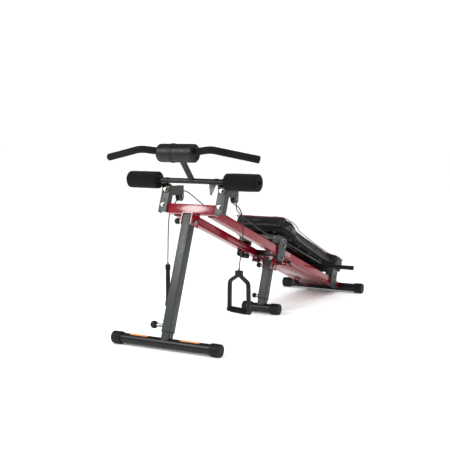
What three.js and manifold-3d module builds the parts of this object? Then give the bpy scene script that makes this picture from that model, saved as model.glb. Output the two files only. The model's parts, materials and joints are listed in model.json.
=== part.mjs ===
// A folding glide-board bench: a padded carriage on wheels rides two inclined
// rails, and two cables run from it over pulleys to hanging stirrup grips.
// Millimetres, +Z up. X runs across the bench, +Y from the tall front leg to
// the low rear foot. Rail coordinates are x, s (down the slope from the front
// leg's axis) and n (square to the rails, from their underside).
import * as THREE from "three";
import { mergeVertices } from "three/addons/utils/BufferGeometryUtils.js";
import Module from "manifold-3d";

const wasm = await Module();
wasm.setup();

// ---- driving dimensions -------------------------------------------------
const gap = 0.3; // between touching pieces
const railSize = 40; // square rail tube
const railWall = 2;
const railSpread = 89; // from the middle plane to a rail's centre line
const frontLegLength = 578; // rail underside to front foot axis
const railRun = 1594; // front leg axis to rear foot axis, along the slope
const foldAt = 868; // where the front and rear rails meet
const midLegAt = 848;
const footTube = 46;
const footCap = 56;
const footCapLength = 48;
const frontFootLength = 548;
const midFootLength = 208;
const rearFootLength = 505;
const legOuter = 45; // square outer leg tube
const legWall = 2;
const legPlay = 0.5; // all round, between the inner and the outer leg
const legInner = legOuter - 2 * legWall - 2 * legPlay;
const legOverlap = 150; // inner leg left inside the outer leg
const frontInnerShown = 28; // inner leg seen above the foot's axis
const midInnerShown = 25;
const upright = 44; // width of an upright channel
const uprightSpread = 146;
const uprightTop = 132.5;
const uprightDepth = 30;
const rollerTube = 24;
const rollerTubeN = 145;
const rollerTubeS = -30;
const rollerDiameter = 77;
const rollerLength = 160;
const rollerPlay = 5; // between an upright and a foam roller's inner end
const rollerFrom = uprightSpread + upright / 2 + rollerPlay;
const barTube = 22;
const gripDiameter = 32;
const neckPadDiameter = 84;
const neckPadLength = 188;
const barTop = 850; // handlebar axis inside the neck pad, above the floor
const barForward = 104; // the same axis, behind the front foot
const sheaveDiameter = 46;
const sheaveWidth = 12;
const sheaveDrop = 637; // sheave axis above the floor
const sheaveBehind = 348; // and behind the front foot
const cable = 5;
const padLength = 975;
const padThickness = 58;
const padAt = 655; // pad's front edge
const padFloor = 123.6; // pad's underside, from the rail underside
const boardThickness = 15;
const bracketAt = 700; // front carriage bracket
const bracketPitch = 736; // front bracket to rear bracket
const bracketLength = 78;
const bracketTop = 92;
const wheelDiameter = 26;
const wheelWidth = 22;
const handleAt = 1330;
const handleReach = 280;
const handleTube = 24;
const pivotBolt = 10;
const running = 0.3; // clearance round a turning bolt or axle
const stirrupWidth = 134;
const stirrupHeight = 195;
const stirrupTop = 314; // top of the stirrup's block above the floor
const stirrupReach = 181; // from the middle plane, where it hangs
const stirrupBar = 10;
const stirrupGrip = 28;

// ---- derived frame -------------------------------------------------------
const footRadius = footCap / 2;
const rearFootN = 17; // rear foot axis, from the rail underside
const incline = Math.atan((frontLegLength + rearFootN) / railRun);
const frameY = frontLegLength * Math.sin(incline);
const frameZ = footRadius + frontLegLength * Math.cos(incline);
const midLegLength = frontLegLength - midLegAt * Math.tan(incline);

// ---- colours -------------------------------------------------------------
const finishes = {
  red: [0x8e1226, 0.25, 0.3],
  grey: [0x5c6462, 0.45, 0.4],
  black: [0x141414, 0.4, 0.3],
  plastic: [0x101010, 0.6, 0.0],
  foam: [0x17181a, 0.95, 0.0],
  vinyl: [0x1c1c1e, 0.5, 0.0],
  board: [0x0c0c0c, 0.9, 0.0],
  cable: [0x0d0d0d, 0.5, 0.0],
};

const bench = new THREE.Group();
const slope = new THREE.Group();
slope.position.set(0, frameY, frameZ);
slope.rotation.x = -incline;
bench.add(slope);

function add(group, name, geometry, finish) {
  const [color, roughness, metalness] = finishes[finish];
  const material = new THREE.MeshStandardMaterial({ color, roughness, metalness });
  const mesh = new THREE.Mesh(geometry, material);
  mesh.name = name;
  group.add(mesh);
  return mesh;
}

// ---- solids --------------------------------------------------------------
function solid(geometry) {
  const bare = geometry.clone();
  bare.deleteAttribute("normal");
  bare.deleteAttribute("uv");
  const merged = mergeVertices(bare, 1e-4);
  return new wasm.Manifold(
    new wasm.Mesh({
      numProp: 3,
      vertProperties: new Float32Array(merged.attributes.position.array),
      triVerts: new Uint32Array(merged.index.array),
    }),
  );
}

function geometryOf(manifold) {
  const mesh = manifold.getMesh();
  const geometry = new THREE.BufferGeometry();
  geometry.setAttribute("position", new THREE.BufferAttribute(mesh.vertProperties, 3));
  geometry.setIndex(new THREE.BufferAttribute(mesh.triVerts, 1));
  geometry.computeVertexNormals();
  return geometry;
}

function join(...pieces) {
  return geometryOf(pieces.map(solid).reduce((whole, piece) => whole.add(piece)));
}

function cut(body, ...tools) {
  return geometryOf(tools.map(solid).reduce((whole, tool) => whole.subtract(tool), solid(body)));
}

// A box between two corners.
function block(x0, x1, y0, y1, z0, z1) {
  const box = new THREE.BoxGeometry(x1 - x0, y1 - y0, z1 - z0);
  return box.translate((x0 + x1) / 2, (y0 + y1) / 2, (z0 + z1) / 2);
}

// A round bar along X.
function barX(diameter, x0, x1, y, z, sides = 24) {
  const bar = new THREE.CylinderGeometry(diameter / 2, diameter / 2, x1 - x0, sides);
  return bar.rotateZ(Math.PI / 2).translate((x0 + x1) / 2, y, z);
}

// An outline in the s-n plane, given thickness along X.
function plateX(shape, x0, x1) {
  const plate = new THREE.ExtrudeGeometry(shape, {
    depth: x1 - x0,
    bevelEnabled: false,
    curveSegments: 6,
  });
  // outline x becomes s and outline y becomes n
  const turn = new THREE.Matrix4().set(0, 0, 1, x0, 1, 0, 0, 0, 0, 1, 0, 0, 0, 0, 0, 1);
  return plate.applyMatrix4(turn);
}

function roundedRect(x0, x1, y0, y1, r) {
  const shape = new THREE.Shape();
  shape.moveTo(x0 + r, y0);
  shape.lineTo(x1 - r, y0);
  shape.absarc(x1 - r, y0 + r, r, -Math.PI / 2, 0);
  shape.lineTo(x1, y1 - r);
  shape.absarc(x1 - r, y1 - r, r, 0, Math.PI / 2);
  shape.lineTo(x0 + r, y1);
  shape.absarc(x0 + r, y1 - r, r, Math.PI / 2, Math.PI);
  shape.lineTo(x0, y0 + r);
  shape.absarc(x0 + r, y0 + r, r, Math.PI, 1.5 * Math.PI);
  return shape;
}

// ---- rails ---------------------------------------------------------------
const crossbarHalf = uprightSpread - upright / 2 - gap;
const crossbarS = [2, 40];
const crossbarN = [4, 48];
const railFrontS = crossbarS[1] + gap;
const railRearS = railRun - footTube / 2 - 2;
const railInside = railSpread - railSize / 2;
const railOutside = railSpread + railSize / 2;

function railTube(centre, s0, s1) {
  const half = railSize / 2;
  const outside = block(centre - half, centre + half, s0, s1, 0, railSize);
  const bore = half - railWall;
  const inside = block(
    centre - bore,
    centre + bore,
    s0 - 1,
    s1 + 1,
    railWall,
    railSize - railWall,
  );
  return cut(outside, inside);
}

const sides = [
  ["left", -1],
  ["right", 1],
];
for (const [side, sign] of sides) {
  const centre = sign * railSpread;
  add(slope, `front_rail_${side}`, railTube(centre, railFrontS, foldAt), "red");
  add(slope, `rear_rail_${side}`, railTube(centre, foldAt + 2 * gap, railRearS), "red");
}

add(
  slope,
  "front_crossbar",
  block(-crossbarHalf, crossbarHalf, ...crossbarS, ...crossbarN),
  "red",
);

// ---- uprights, roller tube, rollers --------------------------------------
const uprightWall = 3;
const uprightS = -6;
for (const [side, sign] of sides) {
  const x = sign * uprightSpread;
  const half = upright / 2;
  const back = uprightS + uprightDepth;
  const channel = cut(
    block(x - half, x + half, uprightS, back, 4, uprightTop),
    block(x - half + uprightWall, x + half - uprightWall, uprightS + uprightWall, back + 1, 3,
      uprightTop + 1),
  );
  add(slope, `upright_${side}`, channel, "grey");
}

const rollerTubeHalf = rollerFrom + rollerLength + 5;
const tabX = 104;
const tab = new THREE.Shape();
tab.moveTo(-18, 0);
tab.lineTo(18, 0);
tab.lineTo(3, -50);
tab.lineTo(-3, -50);
const tabPlate = new THREE.ExtrudeGeometry(tab, { depth: 4, bevelEnabled: false });
tabPlate.rotateX(Math.PI / 2);
tabPlate.translate(tabX, rollerTubeS + 2, rollerTubeN - rollerTube / 2 + 3);
// Under each end a bent plate carries the tube on the upright's front face.
const clampHalf = 23;
const clampWall = 4;
const clampLow = 94;
const clampTop = rollerTubeN - rollerTube / 2 + 1;
const clamps = sides.flatMap(([, sign]) => {
  const x = sign * uprightSpread;
  const face = uprightS - gap;
  return [
    block(x - clampHalf, x + clampHalf, rollerTubeS - 9, face, clampTop - clampWall, clampTop),
    block(x - clampHalf, x + clampHalf, face - clampWall, face, clampLow, clampTop),
  ];
});
add(
  slope,
  "roller_tube",
  join(
    barX(rollerTube, -rollerTubeHalf, rollerTubeHalf, rollerTubeS, rollerTubeN),
    tabPlate,
    ...clamps,
  ),
  "black",
);

for (const [side, sign] of sides) {
  const from = Math.min(sign * rollerFrom, sign * (rollerFrom + rollerLength));
  const roller = cut(
    barX(rollerDiameter, from, from + rollerLength, rollerTubeS, rollerTubeN, 32),
    barX(rollerTube + 2 * running, from - 1, from + rollerLength + 1, rollerTubeS, rollerTubeN),
  );
  add(slope, `foam_roller_${side}`, roller, "foam");
}

// ---- stem, handlebar, neck pad (upright frame) ----------------------------
function fromSlope(s, n) {
  return [
    frameY + s * Math.cos(incline) + n * Math.sin(incline),
    frameZ - s * Math.sin(incline) + n * Math.cos(incline),
  ];
}

const [tubeY, tubeZ] = fromSlope(rollerTubeS, rollerTubeN);
const stemRun = Math.hypot(barForward - tubeY, barTop - tubeZ);
const stemLean = Math.atan2(tubeY - barForward, barTop - tubeZ);
const stemWidth = 22;
const stemDepth = 14;
const stemBar = new THREE.BoxGeometry(stemWidth, stemDepth, stemRun);
stemBar.rotateX(stemLean);
stemBar.translate(0, (tubeY + barForward) / 2, (tubeZ + barTop) / 2);
const axle = barTube + 2 * gap;
const stem = cut(
  stemBar,
  barX(rollerTube + 2 * gap, -60, 60, tubeY, tubeZ),
  barX(axle, -60, 60, barForward, barTop),
);
add(bench, "stem", stem, "black");

// One half of the bull-horn bar, from the neck pad out to the tip.
const hornApex = [178, -24, 9];
const hornTip = [380, 24, -31];
const apexRound = 26;
const hornStart = neckPadLength / 2 + 7; // the bend where the horn leaves the pad
function hornPath(sign) {
  const apex = new THREE.Vector3(...hornApex);
  const start = new THREE.Vector3(hornStart, 0, 0);
  const tip = new THREE.Vector3(...hornTip);
  const inward = start.clone().sub(apex).normalize();
  const outward = tip.clone().sub(apex).normalize();
  const place = (v) => new THREE.Vector3(sign * v.x, barForward + v.y, barTop + v.z);
  const before = apex.clone().addScaledVector(inward, apexRound);
  const after = apex.clone().addScaledVector(outward, apexRound);
  const path = new THREE.CurvePath();
  path.add(new THREE.LineCurve3(place(start), place(before)));
  path.add(new THREE.QuadraticBezierCurve3(place(before), place(apex), place(after)));
  path.add(new THREE.LineCurve3(place(after), place(tip)));
  return path;
}

function ring(radius, bore) {
  const shape = new THREE.Shape();
  shape.absarc(0, 0, radius, 0, 2 * Math.PI);
  if (bore) {
    const hole = new THREE.Path();
    hole.absarc(0, 0, bore, 0, 2 * Math.PI, true);
    shape.holes.push(hole);
  }
  return shape;
}

function sweep(shape, path, steps, curveSegments = 8) {
  return new THREE.ExtrudeGeometry(shape, {
    steps,
    extrudePath: path,
    bevelEnabled: false,
    curveSegments,
  });
}

const padHalf = neckPadLength / 2;
const barMiddle = barX(barTube, 7 - hornStart, hornStart - 7, barForward, barTop, 16);
const hornTubes = [1, -1].map((sign) => sweep(ring(barTube / 2), hornPath(sign), 16, 6));
const hornKnees = [1, -1].map((sign) =>
  new THREE.SphereGeometry(barTube / 2 - 0.2, 10, 8).translate(
    sign * hornStart, barForward, barTop,
  ),
);
add(bench, "handlebar", join(barMiddle, ...hornKnees, ...hornTubes), "black");

const gripBore = barTube / 2 + 1;
for (const [side, sign] of sides) {
  const sleeve = sweep(ring(gripDiameter / 2, gripBore), hornPath(sign), 16, 6);
  add(bench, `handlebar_grip_${side}`, sleeve, "foam");
}

const neckPadDrop = 8; // pad axis below the bar's axis
const slotGap = 1;
const neckSlot = new THREE.BoxGeometry(
  stemWidth + 2 * slotGap,
  stemDepth + 2 * slotGap,
  stemRun,
);
neckSlot.rotateX(stemLean);
neckSlot.translate(0, (tubeY + barForward) / 2, (tubeZ + barTop) / 2);
const neckPad = cut(
  barX(neckPadDiameter, -padHalf, padHalf, barForward, barTop - neckPadDrop, 32),
  barX(barTube + 2, -padHalf - 1, padHalf + 1, barForward, barTop, 16),
  neckSlot,
);
add(bench, "neck_pad", neckPad, "vinyl");

// ---- legs ----------------------------------------------------------------
const cheekGap = 0.5;
const cheek = 4;
const frontBracketRise = 37; // leg bracket's top above its pivot
const midBracketRise = 44.7;
const legAbovePivot = 28; // its corner swings under the bracket as it folds
const bracketHalf = legOuter / 2 + cheekGap;

function legBracket(s, top, rise) {
  const pivotN = top - rise;
  const outside = bracketHalf + cheek;
  const folded = cut(
    block(-outside, outside, s - 24, s + 44, pivotN - 19, top),
    block(-bracketHalf, bracketHalf, s - 25, s + 45, pivotN - 20, top - cheek),
  );
  const bolt = barX(pivotBolt, -outside - 7, outside + 7, s + 8, pivotN, 16);
  const lockHole = barX(
    pinShaft + 2 * running,
    -outside - 1,
    0,
    s + lockPinS,
    pivotN - lockPinBelow,
    12,
  );
  return [join(cut(folded, lockHole), bolt), pivotN];
}

function squareTube(size, wall, s, n0, n1) {
  const half = size / 2;
  const bore = half - wall;
  return cut(
    block(-half, half, s - half, s + half, n0, n1),
    block(-bore, bore, s - bore, s + bore, n0 - 1, n1 + 1),
  );
}

function footBar(length, s, n) {
  const half = length / 2;
  return [
    barX(footTube, -half + 2, half - 2, s, n, 24),
    barX(footCap, -half, -half + footCapLength, s, n, 24),
    barX(footCap, half - footCapLength, half, s, n, 24),
  ];
}

const pinBarrel = 16;
const pinShaft = 7;
const heightPinTip = -legInner / 2 - 0.4;
const lockPinTip = -legOuter / 2 - 0.4;
const frontPinRise = 24; // height pin above the outer leg's lower end
const midPinRise = 13;
const lockPinS = -13; // fold lock pin, from the leg's axis
const lockPinBelow = 4; // and below the leg's pivot

function leg(name, s, length, shown, bracketTopN, rise, footLength, pinRise) {
  const [bracket, pivotN] = legBracket(s, bracketTopN, rise);
  add(slope, `${name}_leg_bracket`, bracket, "red");
  const top = pivotN + legAbovePivot;
  const bottom = -length + footTube / 2 + shown;
  const pinN = bottom + pinRise;
  const outer = cut(
    squareTube(legOuter, legWall, s, bottom, top),
    barX(pivotBolt + 2 * running, -40, 40, s + 8, pivotN, 16),
    barX(pinShaft + 2 * running, -40, 0, s, pinN, 12),
  );
  add(slope, `${name}_leg`, outer, "grey");
  const innerTop = bottom + Math.min(legOverlap, (top - bottom) * 0.55);
  const inner = cut(
    join(squareTube(legInner, legWall, s, -length, innerTop), ...footBar(footLength, s, -length)),
    barX(pinShaft + 2 * running, -40, 0, s, pinN, 12),
  );
  add(slope, `${name}_foot`, inner, "black");
  return { pivotN, pinN, s };
}

const frontLeg = leg(
  "front",
  0,
  frontLegLength,
  frontInnerShown,
  crossbarN[0] - gap,
  frontBracketRise,
  frontFootLength,
  frontPinRise,
);
const midCrossN = [8, 40];
const midLeg = leg(
  "mid",
  midLegAt,
  midLegLength,
  midInnerShown,
  midCrossN[0] - gap,
  midBracketRise,
  midFootLength,
  midPinRise,
);
add(
  slope,
  "mid_crossbar",
  block(-railInside + gap, railInside - gap, midLegAt - 18, midLegAt + 18, ...midCrossN),
  "black",
);

// ---- pull pins: a knob on a shaft, on the leg's left side ------------------
// A height pin is drawn out, its shaft just short of the inner leg's wall.
function pullPin(name, s, n, knob, knobLength, barrel, inTo) {
  const face = -bracketHalf - cheek - gap;
  const barrelEnd = face - barrel;
  add(
    slope,
    name,
    join(
      barX(pinShaft, barrelEnd, inTo, s, n, 12),
      barX(pinBarrel, barrelEnd, face, s, n, 16),
      barX(knob, barrelEnd - knobLength, barrelEnd, s, n, 20),
    ),
    "plastic",
  );
}
pullPin("front_leg_height_pin", frontLeg.s, frontLeg.pinN, 34, 30, 34, heightPinTip);
pullPin("mid_leg_height_pin", midLeg.s, midLeg.pinN, 26, 22, 14, heightPinTip);
for (const [name, { s, pivotN }] of [["front", frontLeg], ["mid", midLeg]]) {
  pullPin(`${name}_leg_lock_pin`, s + lockPinS, pivotN - lockPinBelow, 28, 24, 9, lockPinTip);
}

// ---- fold hinge under the rails --------------------------------------------
const hingeDrop = 10; // pin axis under the rails
const hingePin = 8;
const lug = 5;
const lugRadius = 9;

function lugPlate(x0, s0, s1, pinAt) {
  const shape = new THREE.Shape();
  const top = -gap;
  const low = -hingeDrop - lugRadius;
  // round the pin the lug stays inside the circle that the rails' corners sweep
  if (pinAt === s1) {
    shape.moveTo(s0, top);
    shape.lineTo(s0, -hingeDrop);
    shape.lineTo(s0 + lugRadius, low);
    shape.lineTo(s1, low);
    shape.absarc(s1, -hingeDrop, lugRadius, -Math.PI / 2, Math.PI / 2);
    shape.lineTo(s1 - 1, top);
  } else {
    shape.moveTo(s0 + 1, top);
    shape.lineTo(s0, -hingeDrop + lugRadius);
    shape.absarc(s0, -hingeDrop, lugRadius, Math.PI / 2, 1.5 * Math.PI);
    shape.lineTo(s1 - lugRadius, low);
    shape.lineTo(s1, -hingeDrop);
    shape.lineTo(s1, top);
  }
  return plateX(shape, x0, x0 + lug);
}

for (const [side, sign] of sides) {
  const centre = sign * railSpread;
  const pinFrom = centre - 15;
  const pinTo = centre + 15;
  const fixed = join(
    lugPlate(centre - lug - 1, foldAt - 32, foldAt, foldAt),
    barX(hingePin, pinFrom, pinTo, foldAt, -hingeDrop, 16),
    barX(15, pinFrom - 6, pinFrom + 3, foldAt, -hingeDrop, 6),
    barX(18, pinTo - 3, pinTo + 11, foldAt, -hingeDrop, 20),
  );
  add(slope, `fold_hinge_front_${side}`, fixed, "red");
  const swinging = cut(
    lugPlate(centre + 1, foldAt, foldAt + 34, foldAt),
    barX(hingePin + 2 * running, centre - 5, centre + 12, foldAt, -hingeDrop, 16),
  );
  add(slope, `fold_hinge_rear_${side}`, swinging, "red");
}

// ---- rear section ------------------------------------------------------------
const panelFrom = 1000;
const panelTo = 1500;
add(
  slope,
  "rear_panel",
  block(-railInside + gap, railInside - gap, panelFrom, panelTo, 0, 2.5),
  "red",
);
add(slope, "rear_foot", join(...footBar(rearFootLength, railRun, rearFootN)), "black");
for (const [side, sign] of sides) {
  const centre = sign * railSpread;
  const half = railSize / 2;
  const saddle = cut(
    block(centre - half, centre + half, railRearS + gap, railRun, 1, railSize - 2),
    barX(footTube + 2 * gap, centre - half - 1, centre + half + 1, railRun, rearFootN, 32),
  );
  add(slope, `rear_saddle_${side}`, saddle, "red");
}

// ---- carriage ------------------------------------------------------------------
const plateInner = railOutside + 4;
const plateWall = 4;
const boxFloor = 54;
const boxLength = 42;
const stringerN = [bracketTop + gap, padFloor - boardThickness - 2 * gap];
const axleS = 58; // wheel axle behind the bracket's front edge
const wheelN = railSize + gap + wheelDiameter / 2;
const lowerWheelN = -gap - wheelDiameter / 2;
const wheelAxle = 8;

function bracketPieces(sign, at, plateBottom) {
  const [inner, outer] = [sign * plateInner, sign * (plateInner + plateWall)];
  const [x0, x1] = [Math.min(inner, outer), Math.max(inner, outer)];
  const plate = plateX(roundedRect(at, at + bracketLength, plateBottom, bracketTop, 8), x0, x1);
  const holes = [
    [at + 14, 40],
    [at + 14, 8],
    [at + 36, 24],
  ].map(([s, n]) => barX(9, x0 - 1, x1 + 1, s, n, 12));
  const [b0, b1] = [Math.min(sign * 75, inner), Math.max(sign * 75, inner)];
  const box = cut(
    block(b0, b1, at, at + boxLength, boxFloor, bracketTop),
    block(b0 + 3, b1 - 3, at + 3, at + boxLength + 1, boxFloor + 3, bracketTop - 3),
  );
  const stub = (n) => {
    const end = sign * (railSpread - wheelWidth / 2 - 2);
    return barX(wheelAxle, Math.min(end, outer), Math.max(end, outer), at + axleS, n, 16);
  };
  return { plate: cut(plate, ...holes), box, stub };
}

function carriageFrame(name, at, lower) {
  const bottom = lower ? -24 : -14;
  const pieces = [];
  for (const [, sign] of sides) {
    const { plate, box, stub } = bracketPieces(sign, at, bottom);
    pieces.push(plate, box, stub(wheelN));
    if (lower) {
      pieces.push(stub(lowerWheelN));
    }
  }
  const cross = cut(
    block(-80, 80, at + 4, at + 38, bracketTop - 20, bracketTop),
    block(-74, 74, at + 7, at + 35, bracketTop - 21, bracketTop - 3),
  );
  add(slope, name, join(cross, ...pieces), "grey");
}
const rearBracketAt = bracketAt + bracketPitch;
carriageFrame("carriage_frame_front", bracketAt, true);
carriageFrame("carriage_frame_rear", rearBracketAt, false);

function wheel(name, sign, s, n) {
  const x = sign * railSpread;
  const half = wheelWidth / 2;
  const tyre = cut(
    barX(wheelDiameter, x - half, x + half, s, n, 24),
    barX(wheelAxle + 2 * running, x - half - 1, x + half + 1, s, n, 16),
  );
  add(slope, name, tyre, "plastic");
}
for (const [side, sign] of sides) {
  wheel(`wheel_front_${side}`, sign, bracketAt + axleS, wheelN);
  wheel(`wheel_rear_${side}`, sign, rearBracketAt + axleS, wheelN);
  wheel(`wheel_lower_${side}`, sign, bracketAt + axleS, lowerWheelN);
}

for (const [side, sign] of sides) {
  const x = sign * 55;
  const stringer = block(x - 15, x + 15, bracketAt - 10, rearBracketAt + 60, ...stringerN);
  add(slope, `carriage_stringer_${side}`, stringer, "black");
}
const handleN = bracketTop + gap - handleTube / 2 - gap;
add(
  slope,
  "rear_handle",
  barX(handleTube, -handleReach, handleReach, handleAt, handleN, 20),
  "black",
);

// The pad's outline: square front, wide shoulders, a long waist and a wider tail.
function padOutline(inset) {
  const end = padAt + padLength;
  const half = [
    [128, padAt],
    [139, padAt + 9],
    [144, padAt + 30],
    [147, padAt + 82],
    [147, padAt + 116],
    [136, padAt + 180],
    [112, padAt + 265],
    [98, padAt + 400],
    [84, padAt + 640],
    [82, padAt + 770],
    [90, padAt + 800],
    [107, padAt + 822],
    [110, padAt + 850],
    [108, end - 40],
    [98, end - 14],
    [80, end],
  ].map(([x, s]) => [x - inset, THREE.MathUtils.clamp(s, padAt + inset, end - inset)]);
  const left = half.map(([x, s]) => [-x, s]).reverse();
  return new THREE.Shape([...half, ...left].map(([x, s]) => new THREE.Vector2(x, s)));
}

function slab(inset, n0, n1) {
  const plate = new THREE.ExtrudeGeometry(padOutline(inset), {
    depth: n1 - n0,
    bevelEnabled: false,
  });
  return plate.translate(0, 0, n0);
}
add(slope, "pad_board", slab(9, padFloor - gap - boardThickness, padFloor - gap), "board");
add(slope, "pad", slab(0, padFloor, padFloor + padThickness), "vinyl");

// ---- pulleys ---------------------------------------------------------------------
const pulleyCheek = 3;
const sheaveAxle = 8;
const sheaveInset = 1; // from an upright's middle
const sheaveSpread = uprightSpread - sheaveInset;
const cheekOut = sheaveWidth / 2 + 1.5;
for (const [side, sign] of sides) {
  const x = sign * sheaveSpread;
  const outline = new THREE.Shape();
  const front = 247;
  const high = sheaveDrop + 49;
  const roundHalf = 20;
  outline.moveTo(front, sheaveDrop + 10);
  outline.lineTo(sheaveBehind - roundHalf, sheaveDrop + 4);
  outline.lineTo(sheaveBehind - roundHalf, sheaveDrop - 4);
  outline.absarc(sheaveBehind, sheaveDrop - 4, roundHalf, Math.PI, 2 * Math.PI);
  outline.lineTo(sheaveBehind + roundHalf, high);
  outline.lineTo(front, high);
  const inner = plateX(outline, x - cheekOut - pulleyCheek, x - cheekOut);
  const outer = plateX(outline, x + cheekOut, x + cheekOut + pulleyCheek);
  const web = block(
    x - cheekOut - 1,
    x + cheekOut + 1,
    front,
    sheaveBehind - roundHalf,
    high - 4,
    high,
  );
  const reach = cheekOut + pulleyCheek + 5;
  const axlePin = barX(sheaveAxle, x - reach, x + reach, sheaveBehind, sheaveDrop, 16);
  add(bench, `pulley_bracket_${side}`, join(inner, outer, web, axlePin), "grey");

  const radius = sheaveDiameter / 2;
  const bore = sheaveAxle / 2 + running;
  const half = sheaveWidth / 2;
  const grooveRoot = radius - 1.3 * cable;
  const grooveFloor = cable / 2 + 0.5;
  const grooveTop = half - 1;
  const profile = [
    [bore, -half],
    [radius, -half],
    [radius, -grooveTop],
    [grooveRoot, -grooveFloor],
    [grooveRoot, grooveFloor],
    [radius, grooveTop],
    [radius, half],
    [bore, half],
    [bore, -half],
  ].map(([r, y]) => new THREE.Vector2(r, y));
  const sheave = new THREE.LatheGeometry(profile, 24);
  sheave.rotateZ(Math.PI / 2);
  sheave.translate(x, sheaveBehind, sheaveDrop);
  add(bench, `pulley_${side}`, sheave, "plastic");
}

// ---- cables ------------------------------------------------------------------------
// Each run goes from the top of its sheave down to the front carriage bracket.
// The left one is nearly straight and the right one hangs slack beside the rail.
const cableRuns = {
  left: [
    [-145, 327, 637],
    [-145, 330, 648],
    [-145, 338, 655],
    [-145, 348, 658],
    [-144.9, 358, 659.5],
    [-144, 376, 660],
    [-142, 400, 655],
    [-138, 430, 642],
    [-132, 470, 618],
    [-126, 520, 588],
    [-118, 600, 542],
    [-110, 690, 490],
    [-103, 780, 440],
    [-99, 830, 412],
    [-97, 862, 395],
  ],
  right: [
    [145, 327, 637],
    [145, 330, 648],
    [145, 338, 655],
    [145, 348, 658],
    [145, 358, 655.5],
    [144.5, 367, 645],
    [143, 371, 628],
    [138, 379, 606],
    [128, 398, 586],
    [119, 436, 565],
    [114, 500, 533],
    [112, 570, 503],
    [108, 640, 476],
    [101, 720, 447],
    [98, 790, 422],
    [97, 862, 395],
  ],
};
// Each tail leaves the front of its sheave and hangs to the stirrup's block.
const cableTails = {
  left: [
    [-145, 327, 635.8],
    [-145.4, 326.8, 628],
    [-148, 326, 617],
    [-156, 325, 605],
    [-168, 324, 590],
    [-182, 324, 566],
    [-190, 325, 530],
    [-194, 326, 480],
    [-196, 326, 430],
    [-197, 326, 380],
    [-198, 326, 340],
    [-198, 326, stirrupTop + gap],
  ],
  right: [
    [145, 327, 635.8],
    [145.4, 326.8, 628],
    [149, 326, 617],
    [160, 325, 610],
    [177, 324, 600],
    [191, 324, 581],
    [200, 325, 546],
    [201, 326, 500],
    [198, 326, 440],
    [191, 326, 390],
    [184, 326, 347],
    [stirrupReach, 326, stirrupTop + gap],
  ],
};
function cord(points, steps) {
  const path = new THREE.CatmullRomCurve3(points.map((p) => new THREE.Vector3(...p)));
  const shape = ring(cable / 2);
  return sweep(shape, path, steps, 4);
}
for (const [side] of sides) {
  add(bench, `cable_run_${side}`, cord(cableRuns[side], 48), "cable");
  add(bench, `cable_tail_${side}`, cord(cableTails[side], 30), "cable");
}

// ---- stirrups ------------------------------------------------------------------------
function stirrup(side, x, yaw) {
  const group = new THREE.Group();
  group.position.set(x, 326, stirrupTop);
  group.rotation.z = yaw;
  bench.add(group);
  const half = stirrupWidth / 2;
  const bar = 18;
  const depth = 20;
  const low = stirrupGrip / 2 - stirrupHeight;
  const outline = new THREE.Shape();
  outline.moveTo(-14, -18);
  outline.lineTo(-half + 4, -46);
  outline.lineTo(-half, low);
  outline.lineTo(half, low);
  outline.lineTo(half - 4, -46);
  outline.lineTo(14, -18);
  const inside = new THREE.Path();
  inside.moveTo(-half + bar + 4, -58);
  inside.lineTo(-half + bar, low - 1);
  inside.lineTo(half - bar, low - 1);
  inside.lineTo(half - bar - 4, -58);
  inside.lineTo(10, -37);
  inside.lineTo(-10, -37);
  const window = new THREE.Shape(inside.getPoints());
  const flat = (shape, thick) =>
    new THREE.ExtrudeGeometry(shape, { depth: thick, bevelEnabled: false })
      .translate(0, 0, -thick / 2)
      .rotateX(Math.PI / 2);
  const body = cut(flat(outline, depth), flat(window, depth + 2));
  const ends = [-half, half - bar].map((at) =>
    barX(depth, at, at + bar, 0, low, 20),
  );
  const frame = join(
    body,
    block(-16, 16, -12, 12, -24, 0),
    barX(stirrupBar, -half + 2, half - 2, 0, low, 16),
    ...ends,
  );
  add(group, `stirrup_${side}`, frame, "plastic");
  const gripHalf = half - bar - 2 * gap;
  const grip = cut(
    barX(stirrupGrip, -gripHalf, gripHalf, 0, low, 24),
    barX(stirrupBar + 2 * running, -half, half, 0, low, 16),
  );
  add(group, `stirrup_grip_${side}`, grip, "foam");
}
stirrup("left", -198, THREE.MathUtils.degToRad(-58));
stirrup("right", stirrupReach, THREE.MathUtils.degToRad(-14));

// ---- origin: the middle of the underside of the bench without its cables -----------
const box = new THREE.Box3();
bench.updateMatrixWorld(true);
bench.traverse((piece) => {
  if (piece.isMesh && !piece.name.startsWith("cable_")) {
    box.expandByObject(piece, true);
  }
});
bench.position.set(0, -(box.min.y + box.max.y) / 2, -box.min.z);

export default bench;
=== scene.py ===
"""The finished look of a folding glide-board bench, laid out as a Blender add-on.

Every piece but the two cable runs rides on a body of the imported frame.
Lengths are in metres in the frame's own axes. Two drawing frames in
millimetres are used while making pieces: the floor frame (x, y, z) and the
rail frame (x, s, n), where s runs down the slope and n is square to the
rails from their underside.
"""

import math

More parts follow.
